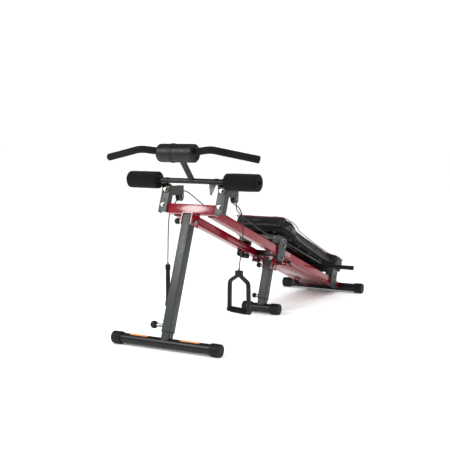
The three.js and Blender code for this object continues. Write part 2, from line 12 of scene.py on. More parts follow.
import bmesh
import bpy
from bpy.props import FloatProperty, FloatVectorProperty, PointerProperty
from mathutils import Matrix, Vector, noise
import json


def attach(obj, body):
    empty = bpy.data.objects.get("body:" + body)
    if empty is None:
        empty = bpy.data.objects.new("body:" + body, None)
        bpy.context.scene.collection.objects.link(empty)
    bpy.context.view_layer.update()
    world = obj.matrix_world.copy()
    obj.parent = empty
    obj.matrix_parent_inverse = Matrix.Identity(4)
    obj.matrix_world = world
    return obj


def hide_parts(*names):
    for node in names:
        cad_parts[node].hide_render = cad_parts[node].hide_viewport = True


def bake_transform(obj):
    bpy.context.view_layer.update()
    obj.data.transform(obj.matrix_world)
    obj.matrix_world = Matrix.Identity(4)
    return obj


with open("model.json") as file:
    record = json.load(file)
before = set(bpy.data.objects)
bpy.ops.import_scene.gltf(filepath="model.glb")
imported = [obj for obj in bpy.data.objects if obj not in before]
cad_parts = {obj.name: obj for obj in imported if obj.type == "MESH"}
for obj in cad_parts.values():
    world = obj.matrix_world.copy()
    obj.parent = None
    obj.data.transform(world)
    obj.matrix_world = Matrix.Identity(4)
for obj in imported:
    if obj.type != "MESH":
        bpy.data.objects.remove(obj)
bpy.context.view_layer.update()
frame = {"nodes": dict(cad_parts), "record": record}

bl_info = {
    "name": "Glide-board bench",
    "version": (1, 0, 0),
    "blender": (4, 5, 0),
    "location": "View3D > Sidebar > Bench",
    "description": "Adds the finished pieces of a folding glide-board bench to its frame",
    "category": "Object",
}

# ---- drawing frames ---------------------------------------------------------
MM = 0.001
FRONT_LEG = 578.0
FOOT_RADIUS = 28.0
INCLINE = math.atan2(595.0, 1594.0)
SHIFT_Y = -882.423
SHIFT_Z = -0.127
RAIL_Y = FRONT_LEG * math.sin(INCLINE)
RAIL_Z = FOOT_RADIUS + FRONT_LEG * math.cos(INCLINE)
SIDES = (("left", -1), ("right", 1))


def floor_at(x, y, z):
    """A point of the floor frame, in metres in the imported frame's axes."""
    return Vector((x, y + SHIFT_Y, z + SHIFT_Z)) * MM


def rail_at(x, s, n):
    """A point of the rail frame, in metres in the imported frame's axes."""
    c, d = math.cos(INCLINE), math.sin(INCLINE)
    return floor_at(x, RAIL_Y + s * c + n * d, RAIL_Z - s * d + n * c)


# ---- mesh making ------------------------------------------------------------
def loft(bm, rings, loop=False):
    """Skins rings of equal length; a loop closes on itself, else the ends are capped."""
    rows = [[bm.verts.new(p) for p in ring] for ring in rings]
    pairs = list(zip(rows, rows[1:]))
    if loop:
        pairs.append((rows[-1], rows[0]))
    count = len(rows[0])
    for a, b in pairs:
        for i in range(count):
            j = (i + 1) % count
            bm.faces.new((a[i], a[j], b[j], b[i]))
    if not loop:
        bm.faces.new(rows[0])
        bm.faces.new(rows[-1])


def rounded(width, height, radius, steps=4):
    """The outline of a rectangle with round corners, about its centre."""
    radius = max(radius, 0.01)
    points = []
    for turn, (sx, sy) in enumerate(((1, 1), (-1, 1), (-1, -1), (1, -1))):
        for k in range(steps + 1):
            a = math.pi / 2 * (turn + k / steps)
            points.append(
                (
                    sx * (width / 2 - radius) + radius * math.cos(a),
                    sy * (height / 2 - radius) + radius * math.sin(a),
                )
            )
    return points


def beam(bm, place, width, height, corner, start, end, wall=0.0):
    """A square tube, open when it has a wall, between two stations of place(u, v, t)."""
    ease = 0.7

    def ring(inset, t):
        outline = rounded(width - 2 * inset, height - 2 * inset, corner - inset)
        return [place(u, v, t) for u, v in outline]

    outside = [
        ring(ease, start),
        ring(0.2 * ease, start + 0.3 * ease),
        ring(0, start + ease),
        ring(0, end - ease),
        ring(0.2 * ease, end - 0.3 * ease),
        ring(ease, end),
    ]
    if wall:
        outside += [ring(wall, end), ring(wall, start)]
    loft(bm, outside, loop=bool(wall))


def turned(bm, place, profile, sides=32, loop=False):
    """A turned shape: profile is (station, radius) along the axis of place(u, v, t)."""
    rings = []
    for t, r in profile:
        r = max(r, 0.02)
        rings.append(
            [
                place(
                    r * math.cos(2 * math.pi * k / sides),
                    r * math.sin(2 * math.pi * k / sides),
                    t,
                )
                for k in range(sides)
            ]
        )
    loft(bm, rings, loop)


def block(bm, place, x, y, z, corner=1.0, segments=2):
    """A box between two corners with every edge rounded."""
    verts = [
        bm.verts.new(place(x[i], y[j], z[k]))
        for i in (0, 1)
        for j in (0, 1)
        for k in (0, 1)
    ]
    faces = [
        bm.faces.new([verts[i] for i in order])
        for order in (
            (0, 1, 3, 2),
            (4, 6, 7, 5),
            (0, 4, 5, 1),
            (2, 3, 7, 6),
            (0, 2, 6, 4),
            (1, 5, 7, 3),
        )
    ]
    edges = list({edge for face in faces for edge in face.edges})
    bmesh.ops.bevel(
        bm,
        geom=edges,
        offset=corner * MM,
        segments=segments,
        profile=0.5,
        affect="EDGES",
        clamp_overlap=True,
    )


def plate(bm, place, outline, low, high, holes=()):
    """A flat plate of an outline (a, b), between two stations, with rims round its holes."""
    ease = 0.6
    rings = []
    for inset, t in ((ease, low), (0, low + ease), (0, high - ease), (ease, high)):
        rings.append([place(a, b, t) for a, b in shrink(outline, inset)])
    loft(bm, rings)
    for a, b, radius in holes:
        turned(
            bm,
            lambda u, v, t, a=a, b=b: place(a + u, b + v, t),
            [(low - 0.15, radius), (low - 0.15, radius + 0.8), (high + 0.15, radius + 0.8),
             (high + 0.15, radius)],
            sides=20,
            loop=True,
        )


def shrink(outline, inset):
    """Moves each corner of an outline in towards the inside by an even step."""
    if not inset:
        return list(outline)
    count = len(outline)
    area = sum(
        outline[i][0] * outline[(i + 1) % count][1]
        - outline[(i + 1) % count][0] * outline[i][1]
        for i in range(count)
    )
    turn = 1 if area > 0 else -1
    moved = []
    for i in range(count):
        before, here, after = outline[i - 1], outline[i], outline[(i + 1) % count]
        along = Vector((after[0] - before[0], after[1] - before[1]))
        along.normalize()
        moved.append((here[0] - turn * along.y * inset, here[1] + turn * along.x * inset))
    return moved


def smooth_path(points, step=6.0):
    """Catmull-Rom points through a route, in its own unit, about one step apart."""
    points = [Vector(p) for p in points]
    ends = [2 * points[0] - points[1]] + points + [2 * points[-1] - points[-2]]
    out = []
    for a, b, c, d in zip(ends, ends[1:], ends[2:], ends[3:]):
        count = max(2, int((c - b).length / step))
        for k in range(count):
            t = k / count
            out.append(
                0.5
                * (
                    2 * b
                    + (c - a) * t
                    + (2 * a - 5 * b + 4 * c - d) * t * t
                    + (3 * b - a - 3 * c + d) * t**3
                )
            )
    out.append(points[-1])
    return out


def swept(bm, path, radius, sides=12, bore=0.0, round_ends=0.0):
    """A round tube along a path in metres; radius and bore are in millimetres."""
    tangents = []
    for i in range(len(path)):
        tangent = path[min(i + 1, len(path) - 1)] - path[max(i - 1, 0)]
        tangents.append(tangent.normalized())
    normal = tangents[0].orthogonal().normalized()
    frames = []
    for tangent in tangents:
        normal = (normal - tangent * normal.dot(tangent)).normalized()
        frames.append((normal, tangent.cross(normal)))

    def ring(i, r, along=0.0):
        n, b = frames[i]
        return [
            path[i]
            + tangents[i] * along * MM
            + (n * math.cos(a) + b * math.sin(a)) * r * MM
            for a in (2 * math.pi * k / sides for k in range(sides))
        ]

    last = len(path) - 1
    rings = []
    bends = 4 if round_ends else 0
    for k in range(bends):
        a = math.pi / 2 * k / bends
        inset = round_ends * (1 - math.sin(a))
        rings.append(ring(0, radius - inset, -round_ends * math.cos(a)))
    rings += [ring(i, radius) for i in range(last + 1)]
    for k in reversed(range(bends)):
        a = math.pi / 2 * k / bends
        inset = round_ends * (1 - math.sin(a))
        rings.append(ring(last, radius - inset, round_ends * math.cos(a)))
    if bore:
        rings += [ring(i, bore) for i in reversed(range(last + 1))]
    loft(bm, rings, loop=bool(bore))


def piece(name, bm, finish, body, stands_for=(), crease=32.0):
    """Turns a bmesh into a smooth-shaded piece that rides on a body, if one is named."""
    bmesh.ops.recalc_face_normals(bm, faces=bm.faces)
    wear = bm.verts.layers.float.new("wear")
    for vert in bm.verts:
        bend = max((edge.calc_face_angle(0.0) for edge in vert.link_edges), default=0.0)
        vert[wear] = min(bend / 0.5, 1.0)
    mesh = bpy.data.meshes.new(name)
    bm.to_mesh(mesh)
    bm.free()
    mesh.polygons.foreach_set("use_smooth", [True] * len(mesh.polygons))
    mesh.set_sharp_from_angle(angle=math.radians(crease))
    mesh.materials.append(coat(finish))
    obj = bpy.data.objects.new(name, mesh)
    bpy.context.scene.collection.objects.link(obj)
    if body:
        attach(obj, body)
    if stands_for:
        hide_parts(*stands_for)
    return obj


# ---- fixings ----------------------------------------------------------------
def across(origin, sign=1, at=rail_at):
    """Places a turned shape's axis along X from origin, outwards by sign."""
    x, y, z = origin
    return lambda u, v, t: at(x + sign * t, y + u, z + v)


def ahead(origin, sign=-1, at=rail_at):
    """Places a turned shape's axis along the slope from origin."""
    x, s, n = origin
    return lambda u, v, t: at(x + u, s + sign * t, n + v)


def upward(origin, sign=1, at=rail_at):
    """Places a turned shape's axis square to the slope from origin."""
    x, s, n = origin
    return lambda u, v, t: at(x + u, s + v, n + sign * t)


def hex_bolt(bm, place, size=17.0, height=6.5, washer=1.6):
    """A washer and a chamfered hexagon head, standing on station 0."""
    turned(
        bm,
        place,
        [(0, 0.3 * size), (0, 0.68 * size), (0.3, 0.71 * size), (washer - 0.3, 0.71 * size),
         (washer, 0.68 * size), (washer, 0.3 * size)],
        sides=28,
    )
    corner = size / math.sqrt(3)
    turned(
        bm,
        place,
        [(washer, 0.96 * corner), (washer + 0.5, corner), (washer + height - 1.2, corner),
         (washer + height, 0.84 * corner), (washer + height, 0.5 * corner),
         (washer + height - 0.6, 0.42 * corner), (washer + height - 0.6, 0.02)],
        sides=6,
    )


def dome_bolt(bm, place, size=16.0, height=6.0):
    """A washer and a low round head with a hexagon socket."""
    profile = [(0, 0.3 * size), (0, 0.62 * size), (1.2, 0.62 * size), (1.3, 0.5 * size)]
    for k in range(1, 7):
        a = math.pi / 2 * k / 7
        profile.append((1.3 + height * math.sin(a), 0.5 * size * math.cos(a) ** 0.7))
    profile += [(1.1 + height, 0.2 * size), (height - 1.2, 0.19 * size), (height - 1.3, 0.02)]
    turned(bm, place, profile, sides=28)


def lock_nut(bm, place, size=17.0, height=8.0):
    """A nut with a rounded collar and the bolt's thread end."""
    corner = size / math.sqrt(3)
    turned(
        bm,
        place,
        [(0, 0.95 * corner), (0.6, corner), (height - 2.5, corner), (height - 1.6, 0.9 * corner)],
        sides=6,
    )
    turned(
        bm,
        place,
        [(0.5, 0.8 * corner), (height - 1, 0.82 * corner), (height, 0.72 * corner),
         (height, 0.3 * size), (height + 1.5, 0.29 * size), (height + 2, 0.24 * size)],
        sides=24,
    )


# ---- finishes ---------------------------------------------------------------
def wire(tree, kind, settings=None, **sockets):
    """Adds a node, sets its options, and links or sets its sockets by name."""
    node = tree.nodes.new(kind)
    for key, value in (settings or {}).items():
        setattr(node, key, value)
    for key, value in sockets.items():
        socket = node.inputs[key.replace("_", " ")]
        if isinstance(value, bpy.types.NodeSocket):
            tree.links.new(value, socket)
        else:
            socket.default_value = value
    return node


def rgba(colour):
    return (*colour, 1.0)


def mix(tree, share, a, b):
    """Mixes two colours by a share."""
    node = tree.nodes.new("ShaderNodeMix")
    node.data_type = "RGBA"
    for index, value in ((0, share), (6, a), (7, b)):
        socket = node.inputs[index]
        if isinstance(value, bpy.types.NodeSocket):
            tree.links.new(value, socket)
        else:
            socket.default_value = value
    return node.outputs[2]


def spread(tree, value, low, high, start=0.3, end=0.7):
    """Carries a noise value to a range."""
    node = wire(
        tree, "ShaderNodeMapRange", None,
        Value=value, From_Min=start, From_Max=end, To_Min=low, To_Max=high,
    )
    return node.outputs["Result"]


def surface(
    name, colour, tone, rough, grain, relief, cells=0.0, cell_relief=0.0, stretch=(1, 1, 1),
    worn=None, fixed=None,
):
    """A finish: two mixed tones, uneven roughness, fine grain, cells and worn edges."""
    material = bpy.data.materials.new(name)
    material.use_nodes = True
    tree = material.node_tree
    shader = tree.nodes["Principled BSDF"]
    place = tree.nodes.new("ShaderNodeTexCoord").outputs["Object"]
    stretched = wire(tree, "ShaderNodeMapping", None, Vector=place, Scale=stretch)
    place_grain = stretched.outputs["Vector"]

    broad = wire(tree, "ShaderNodeTexNoise", None, Vector=place, Scale=9.0, Detail=4.0)
    base = mix(
        tree,
        spread(tree, broad.outputs["Fac"], 0.0, 1.0),
        rgba(colour),
        rgba(tone),
    )
    middling = wire(
        tree, "ShaderNodeTexNoise", None, Vector=place_grain, Scale=60.0, Detail=5.0
    )
    roughness = spread(tree, middling.outputs["Fac"], rough[0], rough[1])
    if worn:
        edge = wire(tree, "ShaderNodeAttribute", {"attribute_name": "wear"}).outputs["Fac"]
        chips = wire(
            tree, "ShaderNodeTexNoise", None, Vector=place, Scale=140.0, Detail=6.0,
            Roughness=0.7,
        )
        chipped = spread(tree, chips.outputs["Fac"], 0.0, 1.0, 0.62, 0.68)
        share = wire(
            tree, "ShaderNodeMath", {"operation": "MULTIPLY"}
        )
        tree.links.new(edge, share.inputs[0])
        tree.links.new(chipped, share.inputs[1])
        base = mix(tree, share.outputs[0], base, rgba(worn))
    tree.links.new(base, shader.inputs["Base Color"])
    tree.links.new(roughness, shader.inputs["Roughness"])

    fine = wire(
        tree, "ShaderNodeTexNoise", None, Vector=place_grain, Scale=grain, Detail=3.0
    )
    bump = wire(
        tree, "ShaderNodeBump", None,
        Height=fine.outputs["Fac"], Distance=relief, Strength=1.0,
    )
    normal = bump.outputs["Normal"]
    if cells:
        warp = wire(tree, "ShaderNodeTexNoise", None, Vector=place, Scale=cells * 0.4)
        shifted = wire(tree, "ShaderNodeVectorMath", {"operation": "MULTIPLY_ADD"})
        tree.links.new(warp.outputs["Color"], shifted.inputs[0])
        shifted.inputs[1].default_value = (0.8 / cells,) * 3
        tree.links.new(place, shifted.inputs[2])
        cell = wire(
            tree, "ShaderNodeTexVoronoi", {"feature": "SMOOTH_F1"},
            Vector=shifted.outputs[0], Scale=cells, Smoothness=0.4,
        )
        second = wire(
            tree, "ShaderNodeBump", {"invert": True},
            Height=cell.outputs["Distance"], Distance=cell_relief, Normal=normal, Strength=1.0,
        )
        normal = second.outputs["Normal"]
    tree.links.new(normal, shader.inputs["Normal"])
    for key, value in (fixed or {}).items():
        shader.inputs[key].default_value = value
    return material


_coats = {}


def coat(name):
    """The material of a finish, made once."""
    if name not in _coats:
        _coats[name] = FINISHES[name](bpy.context.scene.bench_finishes)
    return _coats[name]


def darker(colour, share=0.7):
    return tuple(share * c for c in colour)


FINISHES = {
    "red enamel": lambda f: surface(
        "red_enamel", f.red, darker(f.red, 0.8), (0.12, 0.2), 900.0, 0.00001,
        worn=(0.12, 0.11, 0.11),
        fixed={"Specular IOR Level": 0.42},
    ),
    "grey powder coat": lambda f: surface(
        "grey_powder_coat", f.grey, darker(f.grey, 0.82), (0.38, 0.5), 1500.0, 0.00006,
        worn=(0.14, 0.14, 0.14), fixed={"Specular IOR Level": 0.35},
    ),
    "black satin": lambda f: surface(
        "black_satin_paint", f.black, darker(f.black, 0.6), (0.3, 0.44), 1200.0, 0.00003,
        worn=(0.05, 0.05, 0.05), fixed={"Specular IOR Level": 0.3},
    ),
    "moulded plastic": lambda f: surface(
        "moulded_plastic", f.black, darker(f.black, 0.7), (0.42, 0.58), 1800.0, 0.00007,
        fixed={"Specular IOR Level": 0.3},
    ),
    "ribbed rubber": lambda f: surface(
        "foot_rubber", f.black, darker(f.black, 0.6), (0.5, 0.68), 1400.0, 0.00008,
        fixed={"Specular IOR Level": 0.25},
    ),
    "foam": lambda f: surface(
        "closed_cell_foam", f.foam, darker(f.foam, 0.55), (0.82, 0.97), 1300.0, 0.0003,
        cells=620.0, cell_relief=0.0004,
        fixed={"Specular IOR Level": 0.15, "Sheen Weight": 0.03, "Sheen Roughness": 0.5},
    ),
    "vinyl": lambda f: surface(
        "grained_vinyl", f.vinyl, darker(f.vinyl, 0.65), (0.36, 0.5), 1500.0, 0.00008,
        cells=520.0, cell_relief=0.00028,
        fixed={"Specular IOR Level": 0.3},
    ),
    "piping": lambda f: surface(
        "red_piping", f.piping, darker(f.piping, 0.6), (0.4, 0.55), 1600.0, 0.00006,
    ),
    "thread": lambda f: surface(
        "black_thread", (0.02, 0.02, 0.02), (0.05, 0.05, 0.05), (0.6, 0.8), 3000.0, 0.0001,
    ),
    "board": lambda f: surface(
        "painted_board", (0.005, 0.005, 0.005), (0.009, 0.009, 0.009), (0.7, 0.9), 500.0,
        0.00025, stretch=(1.0, 0.12, 1.0), fixed={"Specular IOR Level": 0.15},
    ),
    "zinc": lambda f: surface(
        "zinc_plate", f.zinc, darker(f.zinc, 0.75), (0.16, 0.34), 700.0, 0.00003,
        stretch=(1.0, 0.2, 1.0), fixed={"Metallic": 1.0},
    ),
    "yellow zinc": lambda f: surface(
        "yellow_zinc_plate", (0.36, 0.28, 0.15), (0.3, 0.27, 0.2), (0.2, 0.38), 700.0,
        0.00003, fixed={"Metallic": 1.0},
    ),
    "cable sheath": lambda f: surface(
        "cable_sheath", f.black, darker(f.black, 0.6), (0.34, 0.48), 2200.0, 0.00004,
        fixed={"Specular IOR Level": 0.5},
    ),
    "blank mark": lambda f: surface(
        "blank_orange_mark", f.mark, darker(f.mark, 0.85), (0.45, 0.6), 1500.0, 0.00003,
    ),
    "floor": lambda f: surface(
        "pale_floor", f.floor, f.floor, (0.7, 0.85), 300.0, 0.00002,
    ),
}


class BenchFinishes(bpy.types.PropertyGroup):
    """Colours of the bench's paints, padding and fixings."""

    red: FloatVectorProperty(
        name="Red enamel", description="Colour of the rails' gloss enamel",
        subtype="COLOR", size=3, min=0.0, max=1.0, default=(0.2, 0.002, 0.012),
    )
    grey: FloatVectorProperty(
        name="Grey powder coat", description="Colour of the legs, uprights and brackets",
        subtype="COLOR", size=3, min=0.0, max=1.0, default=(0.033, 0.04, 0.038),
    )
    black: FloatVectorProperty(
        name="Black paint", description="Colour of the black tubes and moulded parts",
        subtype="COLOR", size=3, min=0.0, max=1.0, default=(0.006, 0.006, 0.0065),
    )
    foam: FloatVectorProperty(
        name="Foam", description="Colour of the rollers and grips",
        subtype="COLOR", size=3, min=0.0, max=1.0, default=(0.006, 0.006, 0.0065),
    )
    vinyl: FloatVectorProperty(
        name="Vinyl", description="Colour of the pad's and neck pad's covers",
        subtype="COLOR", size=3, min=0.0, max=1.0, default=(0.005, 0.005, 0.0055),
    )
    piping: FloatVectorProperty(
        name="Piping", description="Colour of the cord sewn round the pad's top edge",
        subtype="COLOR", size=3, min=0.0, max=1.0, default=(0.16, 0.012, 0.022),
    )
    zinc: FloatVectorProperty(
        name="Zinc plate", description="Colour of bolts, nuts and barrels",
        subtype="COLOR", size=3, min=0.0, max=1.0, default=(0.33, 0.33, 0.32),
    )
    mark: FloatVectorProperty(
        name="Foot marks", description="Colour of the two blank marks on the front foot",
        subtype="COLOR", size=3, min=0.0, max=1.0, default=(0.75, 0.25, 0.06),
    )
    floor: FloatVectorProperty(
        name="Floor", description="Colour of the studio floor",
        subtype="COLOR", size=3, min=0.0, max=1.0, default=(0.97, 0.97, 0.97),
    )


class BenchSizes(bpy.types.PropertyGroup):
    """Sizes of details that the frame leaves open."""

    tube_corner: FloatProperty(
        name="Tube corner", description="Outside corner radius of the square tubes",
        default=0.0045, min=0.001, max=0.01, unit="LENGTH",
    )
    piping: FloatProperty(
        name="Piping", description="Diameter of the piping round the pad's top edge",
        default=0.005, min=0.002, max=0.01, unit="LENGTH",
    )
    pad_swell: FloatProperty(
        name="Pad swell", description="The furthest the pad's cover is pushed out by its filling",
        default=0.009, min=0.002, max=0.02, unit="LENGTH",
    )
    roll_swell: FloatProperty(
        name="Neck pad swell", description="The furthest the neck pad's cover is pushed out",
        default=0.004, min=0.001, max=0.01, unit="LENGTH",
    )
    filling: FloatProperty(
        name="Filling", description="How tightly the padding is filled",
        default=0.8, min=0.0, max=1.0, subtype="FACTOR",
    )


# ---- camera and cables --------------------------------------------------------
CAMERA_TURN = math.radians(29.284936692)
CAMERA_RISE = math.radians(5.971863943)
CAMERA_AT = (2078.165446, -3185.574542, 937.228992)
CAMERA_LENS = 72.0


class BENCH_OT_camera(bpy.types.Operator):
    """Adds the camera, low and to the front right of the bench"""

    bl_idname = "bench.camera"
    bl_label = "Camera"

    def execute(self, context):
        data = bpy.data.cameras.new("view")
        data.lens = CAMERA_LENS
        data.sensor_width = 36.0
        camera = bpy.data.objects.new("view", data)
        context.scene.collection.objects.link(camera)
        c, d = math.cos(CAMERA_TURN), math.sin(CAMERA_TURN)
        back = Vector(
            (d * math.cos(CAMERA_RISE), -c * math.cos(CAMERA_RISE), math.sin(CAMERA_RISE))
        )
        right = Vector((c, d, 0.0))
        turn = Matrix((right, back.cross(right), back)).transposed()
        camera.matrix_world = Matrix.Translation(floor_at(*CAMERA_AT)) @ turn.to_4x4()
        context.scene.camera = camera
        return {"FINISHED"}


# Cable routes in the floor frame, in millimetres.
CABLE = 5.0
RUNS = {
    "left": (
        (-145, 327, 637), (-145, 330, 648), (-145, 338, 655), (-145, 348, 658),
        (-144.9, 358, 659.5), (-144, 376, 660), (-142, 400, 655), (-138, 430, 642),
        (-132, 470, 618), (-126, 520, 588), (-118, 600, 542), (-110, 690, 490),
        (-103, 780, 440), (-99, 830, 412), (-97, 862, 395),
    ),
    "right": (
        (145, 327, 637), (145, 330, 648), (145, 338, 655), (145, 348, 658),
        (145, 358, 655.5), (144.5, 367, 645), (143, 371, 628), (138, 379, 606),
        (128, 398, 586), (119, 436, 565), (114, 500, 533), (112, 570, 503),
        (108, 640, 476), (101, 720, 447), (98, 790, 422), (97, 862, 395),
    ),
}
TAILS = {
    "left": (
        (-145, 327, 635.8), (-145.4, 326.8, 628), (-148, 326, 617), (-156, 325, 605),
        (-168, 324, 590), (-182, 324, 566), (-190, 325, 530), (-194, 326, 480),
        (-196, 326, 430), (-197, 326, 380), (-198, 326, 340), (-198, 326, 314.3),
    ),
    "right": (
        (145, 327, 635.8), (145.4, 326.8, 628), (149, 326, 617), (160, 325, 610),
        (177, 324, 600), (191, 324, 581), (200, 325, 546), (201, 326, 500),
        (198, 326, 440), (191, 326, 390), (184, 326, 347), (181, 326, 314.3),
    ),
}
RUN_LENGTHS = {"left": 0.618, "right": 0.632}
TAIL_LENGTHS = {"left": 0.334, "right": 0.346}


class BENCH_OT_cables(bpy.types.Operator):
    """Adds the two cable runs to the carriage and the two tails to the stirrups"""

    bl_idname = "bench.cables"
    bl_label = "Cables"

    def execute(self, context):
        for side, _ in SIDES:
            for kind, routes, lengths in (
                ("run", RUNS, RUN_LENGTHS),
                ("tail", TAILS, TAIL_LENGTHS),
            ):
                path = [floor_at(*p) for p in smooth_path(routes[side])]
                bm = bmesh.new()
                swept(bm, path, CABLE / 2, sides=12)
                body = None if kind == "run" else f"stirrup_{side}"
                obj = piece(
                    f"cable_{kind}_{side}_sheath", bm, "cable sheath", body,
                    [f"cable_{kind}_{side}"],
                )
                if kind == "run":
                    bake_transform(obj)
        return {"FINISHED"}


# ---- frame --------------------------------------------------------------------
RAIL = 40.0
RAIL_SPREAD = 89.0
FOLD_AT = 868.0
MID_LEG_AT = 848.0
RAIL_END = 1569.0


def corner():
    return bpy.context.scene.bench_sizes.tube_corner / MM


class BENCH_OT_rails(bpy.types.Operator):
    """Adds the four rail tubes, the crossbars and the rear panel's folded edges"""

    bl_idname = "bench.rails"
    bl_label = "Rails and crossbars"

    def execute(self, context):
        for side, sign in SIDES:
            x = sign * RAIL_SPREAD
            for part, start, end in (
                ("front", 40.3, FOLD_AT),
                ("rear", FOLD_AT + 0.6, RAIL_END),
            ):
                bm = bmesh.new()
                beam(
                    bm, lambda u, v, t, x=x: rail_at(x + u, t, RAIL / 2 + v),
                    RAIL, RAIL, corner(), start, end, wall=2.0,
                )
                piece(
                    f"{part}_rail_{side}_tube", bm, "red enamel", f"{part}_frame",
                    [f"{part}_rail_{side}"],
                )
        bm = bmesh.new()
        beam(
            bm, lambda u, v, t: rail_at(t, 21 + u, 26 + v), 38, 44, corner(), -123.7, 123.7,
        )
        piece("front_crossbar_tube", bm, "red enamel", "front_frame",
              ["front_crossbar"])
        # painted shade: the mid crossbar is given the black finish to stand for the shadow it
        # sits in between the rails; the bar itself is red like the frame
        bm = bmesh.new()
        beam(
            bm, lambda u, v, t: rail_at(t, MID_LEG_AT + u, 24 + v), 36, 32, corner(),
            -68.7, 68.7,
        )
        piece("mid_crossbar_painted_shade_tube", bm, "black satin", "front_frame",
              ["mid_crossbar"])
        bm = bmesh.new()
        block(bm, rail_at, (-68.7, 68.7), (1000, 1500), (0, 2.5), 0.6, 2)
        for s in (1000, 1488):
            block(bm, rail_at, (-68.7, 68.7), (s, s + 12), (2.0, 9.0), 1.2, 2)
        piece("rear_panel_sheet", bm, "red enamel", "rear_frame", ["rear_panel"])
        return {"FINISHED"}


UPRIGHT_AT = 146.0
COLLAR_AT = 170.0


class BENCH_OT_uprights(bpy.types.Operator):
    """Adds the upright channels, the roller tube, its saddles, tab and bolts"""

    bl_idname = "bench.uprights"
    bl_label = "Uprights and roller tube"

    def execute(self, context):
        for side, sign in SIDES:
            x = sign * UPRIGHT_AT
            bm = bmesh.new()
            outer = [(-22, 24), (-22, -3)]
            for k in range(5):
                a = math.pi + math.pi / 2 * k / 4
                outer.append((-19 + 3 * math.cos(a), -3 + 3 * math.sin(a)))
            outer += [(-a, b) for a, b in reversed(outer)]
            inner = [(19, 24), (19, -2.5), (18.5, -3), (-18.5, -3), (-19, -2.5), (-19, 24)]
            outline = outer + inner
            rings = [
                [rail_at(x + a, b, n) for a, b in outline] for n in (4.0, 132.5)
            ]
            loft(bm, rings)
            piece(f"upright_{side}_channel", bm, "grey powder coat", "front_frame",
                  [f"upright_{side}"])
            bm = bmesh.new()
            hex_bolt(bm, ahead((x - 2, -6, 37)), size=13)
            piece(f"upright_{side}_lower_bolt", bm, "zinc", "front_frame")
            bm = bmesh.new()
            hex_bolt(bm, ahead((x - 2, -10.3, 109)), size=13)
            piece(f"upright_{side}_upper_bolt", bm,
                  "yellow zinc" if side == "left" else "zinc", "front_frame")
            bm = bmesh.new()
            saddle = []
            for k in range(13):
                a = math.pi * k / 12
                saddle.append((-30 + 13.6 * math.cos(a), 145 + 13.6 * math.sin(a)))
            inside = [
                (-30 + 12.2 * math.cos(math.pi * k / 12), 145 + 12.2 * math.sin(math.pi * k / 12))
                for k in reversed(range(13))
            ]
            strap = saddle + inside
            loft(bm, [[rail_at(t, a, b) for a, b in strap] for t in (x - 33, x - 13)])
            loft(bm, [[rail_at(t, a, b) for a, b in strap] for t in (x + 6, x + 22)])
            piece(f"upright_{side}_saddles", bm, "black satin", "front_frame")
        bm = bmesh.new()
        reach = 338.0
        turned(
            bm, lambda u, v, t: rail_at(t, -30 + u, 145 + v),
            [(20 - reach, 0.4), (20 - reach, 10), (-reach, 10.2), (-reach, 11.2),
             (-reach + 0.8, 12), (reach - 0.8, 12), (reach, 11.2), (reach, 10.2),
             (reach - 20, 10), (reach - 20, 0.4)],
            sides=32,
        )
        for _, sign in SIDES:
            x = sign * UPRIGHT_AT
            block(bm, rail_at, (x - 23, x + 23), (-39, -8), (130.2, 133.8), 0.8, 2)
            plate(
                bm, lambda a, b, t, x=x: rail_at(x + a, t, b),
                [(-23, 134), (-23, 123), (-13, 95), (-11, 94), (11, 94), (13, 95), (23, 123),
                 (23, 134)],
                -10.3, -6.3,
            )
        outline = [(86, -10), (122, -10), (107.5, -60), (105, -61.5), (103, -61.5), (100.5, -60)]
        plate(bm, lambda a, b, t: rail_at(a, t, 145 + b), outline, -28, -24)
        piece("roller_tube_body", bm, "black satin", "front_frame",
              ["roller_tube"])
        bm = bmesh.new()
        for _, sign in SIDES:
            turned(
                bm, across((sign * COLLAR_AT, -30, 145), sign),
                [(-1.5, 12.1), (-1.5, 19), (0, 20), (1.5, 19), (1.5, 12.1)],
                sides=28, loop=True,
            )
        piece("roller_collars", bm, "moulded plastic", "front_frame")
        return {"FINISHED"}


HORN_APEX = Vector((178, -24, 9))
HORN_TIP = Vector((380, 24, -31))
HORN_START = Vector((101, 0, 0))
HORN_ROUND = 26.0
BAR_Y = 104.0
BAR_Z = 850.0


def horn_path(sign, start=0.0):
    """The bar's axis from the neck pad to one tip."""
    inward = (HORN_START - HORN_APEX).normalized() * HORN_ROUND + HORN_APEX
    outward = (HORN_TIP - HORN_APEX).normalized() * HORN_ROUND + HORN_APEX
    first = HORN_START.lerp(inward, start)
    points = [first.lerp(inward, k / 4) for k in range(4)]
    for k in range(9):
        t = k / 8
        points.append(
            (1 - t) ** 2 * inward + 2 * t * (1 - t) * HORN_APEX + t * t * outward
        )
    points += [outward.lerp(HORN_TIP, k / 14) for k in range(1, 15)]
    return [floor_at(sign * p.x, BAR_Y + p.y, BAR_Z + p.z) for p in points]


class BENCH_OT_handlebar(bpy.types.Operator):
    """Adds the bull-horn bar and its two foam grips"""

    bl_idname = "bench.handlebar"
    bl_label = "Handlebar and grips"

    def execute(self, context):
        bm = bmesh.new()
        middle = [floor_at(x, BAR_Y, BAR_Z) for x in (-97, -48, 0, 48, 97)]
        swept(bm, list(reversed(horn_path(-1)))[:-1] + middle + horn_path(1)[1:], 11.0, 20)
        piece("handlebar_tube", bm, "black satin", "front_frame",
              ["handlebar"])
        for side, sign in SIDES:
            bm = bmesh.new()
            swept(bm, horn_path(sign, 0.1), 16.0, 28, round_ends=3.5)
            grip = piece(f"handlebar_grip_{side}_sleeve", bm, "foam", "front_frame",
                         [f"handlebar_grip_{side}"])
            ripple(grip, 0.0004, 60.0)
        return {"FINISHED"}


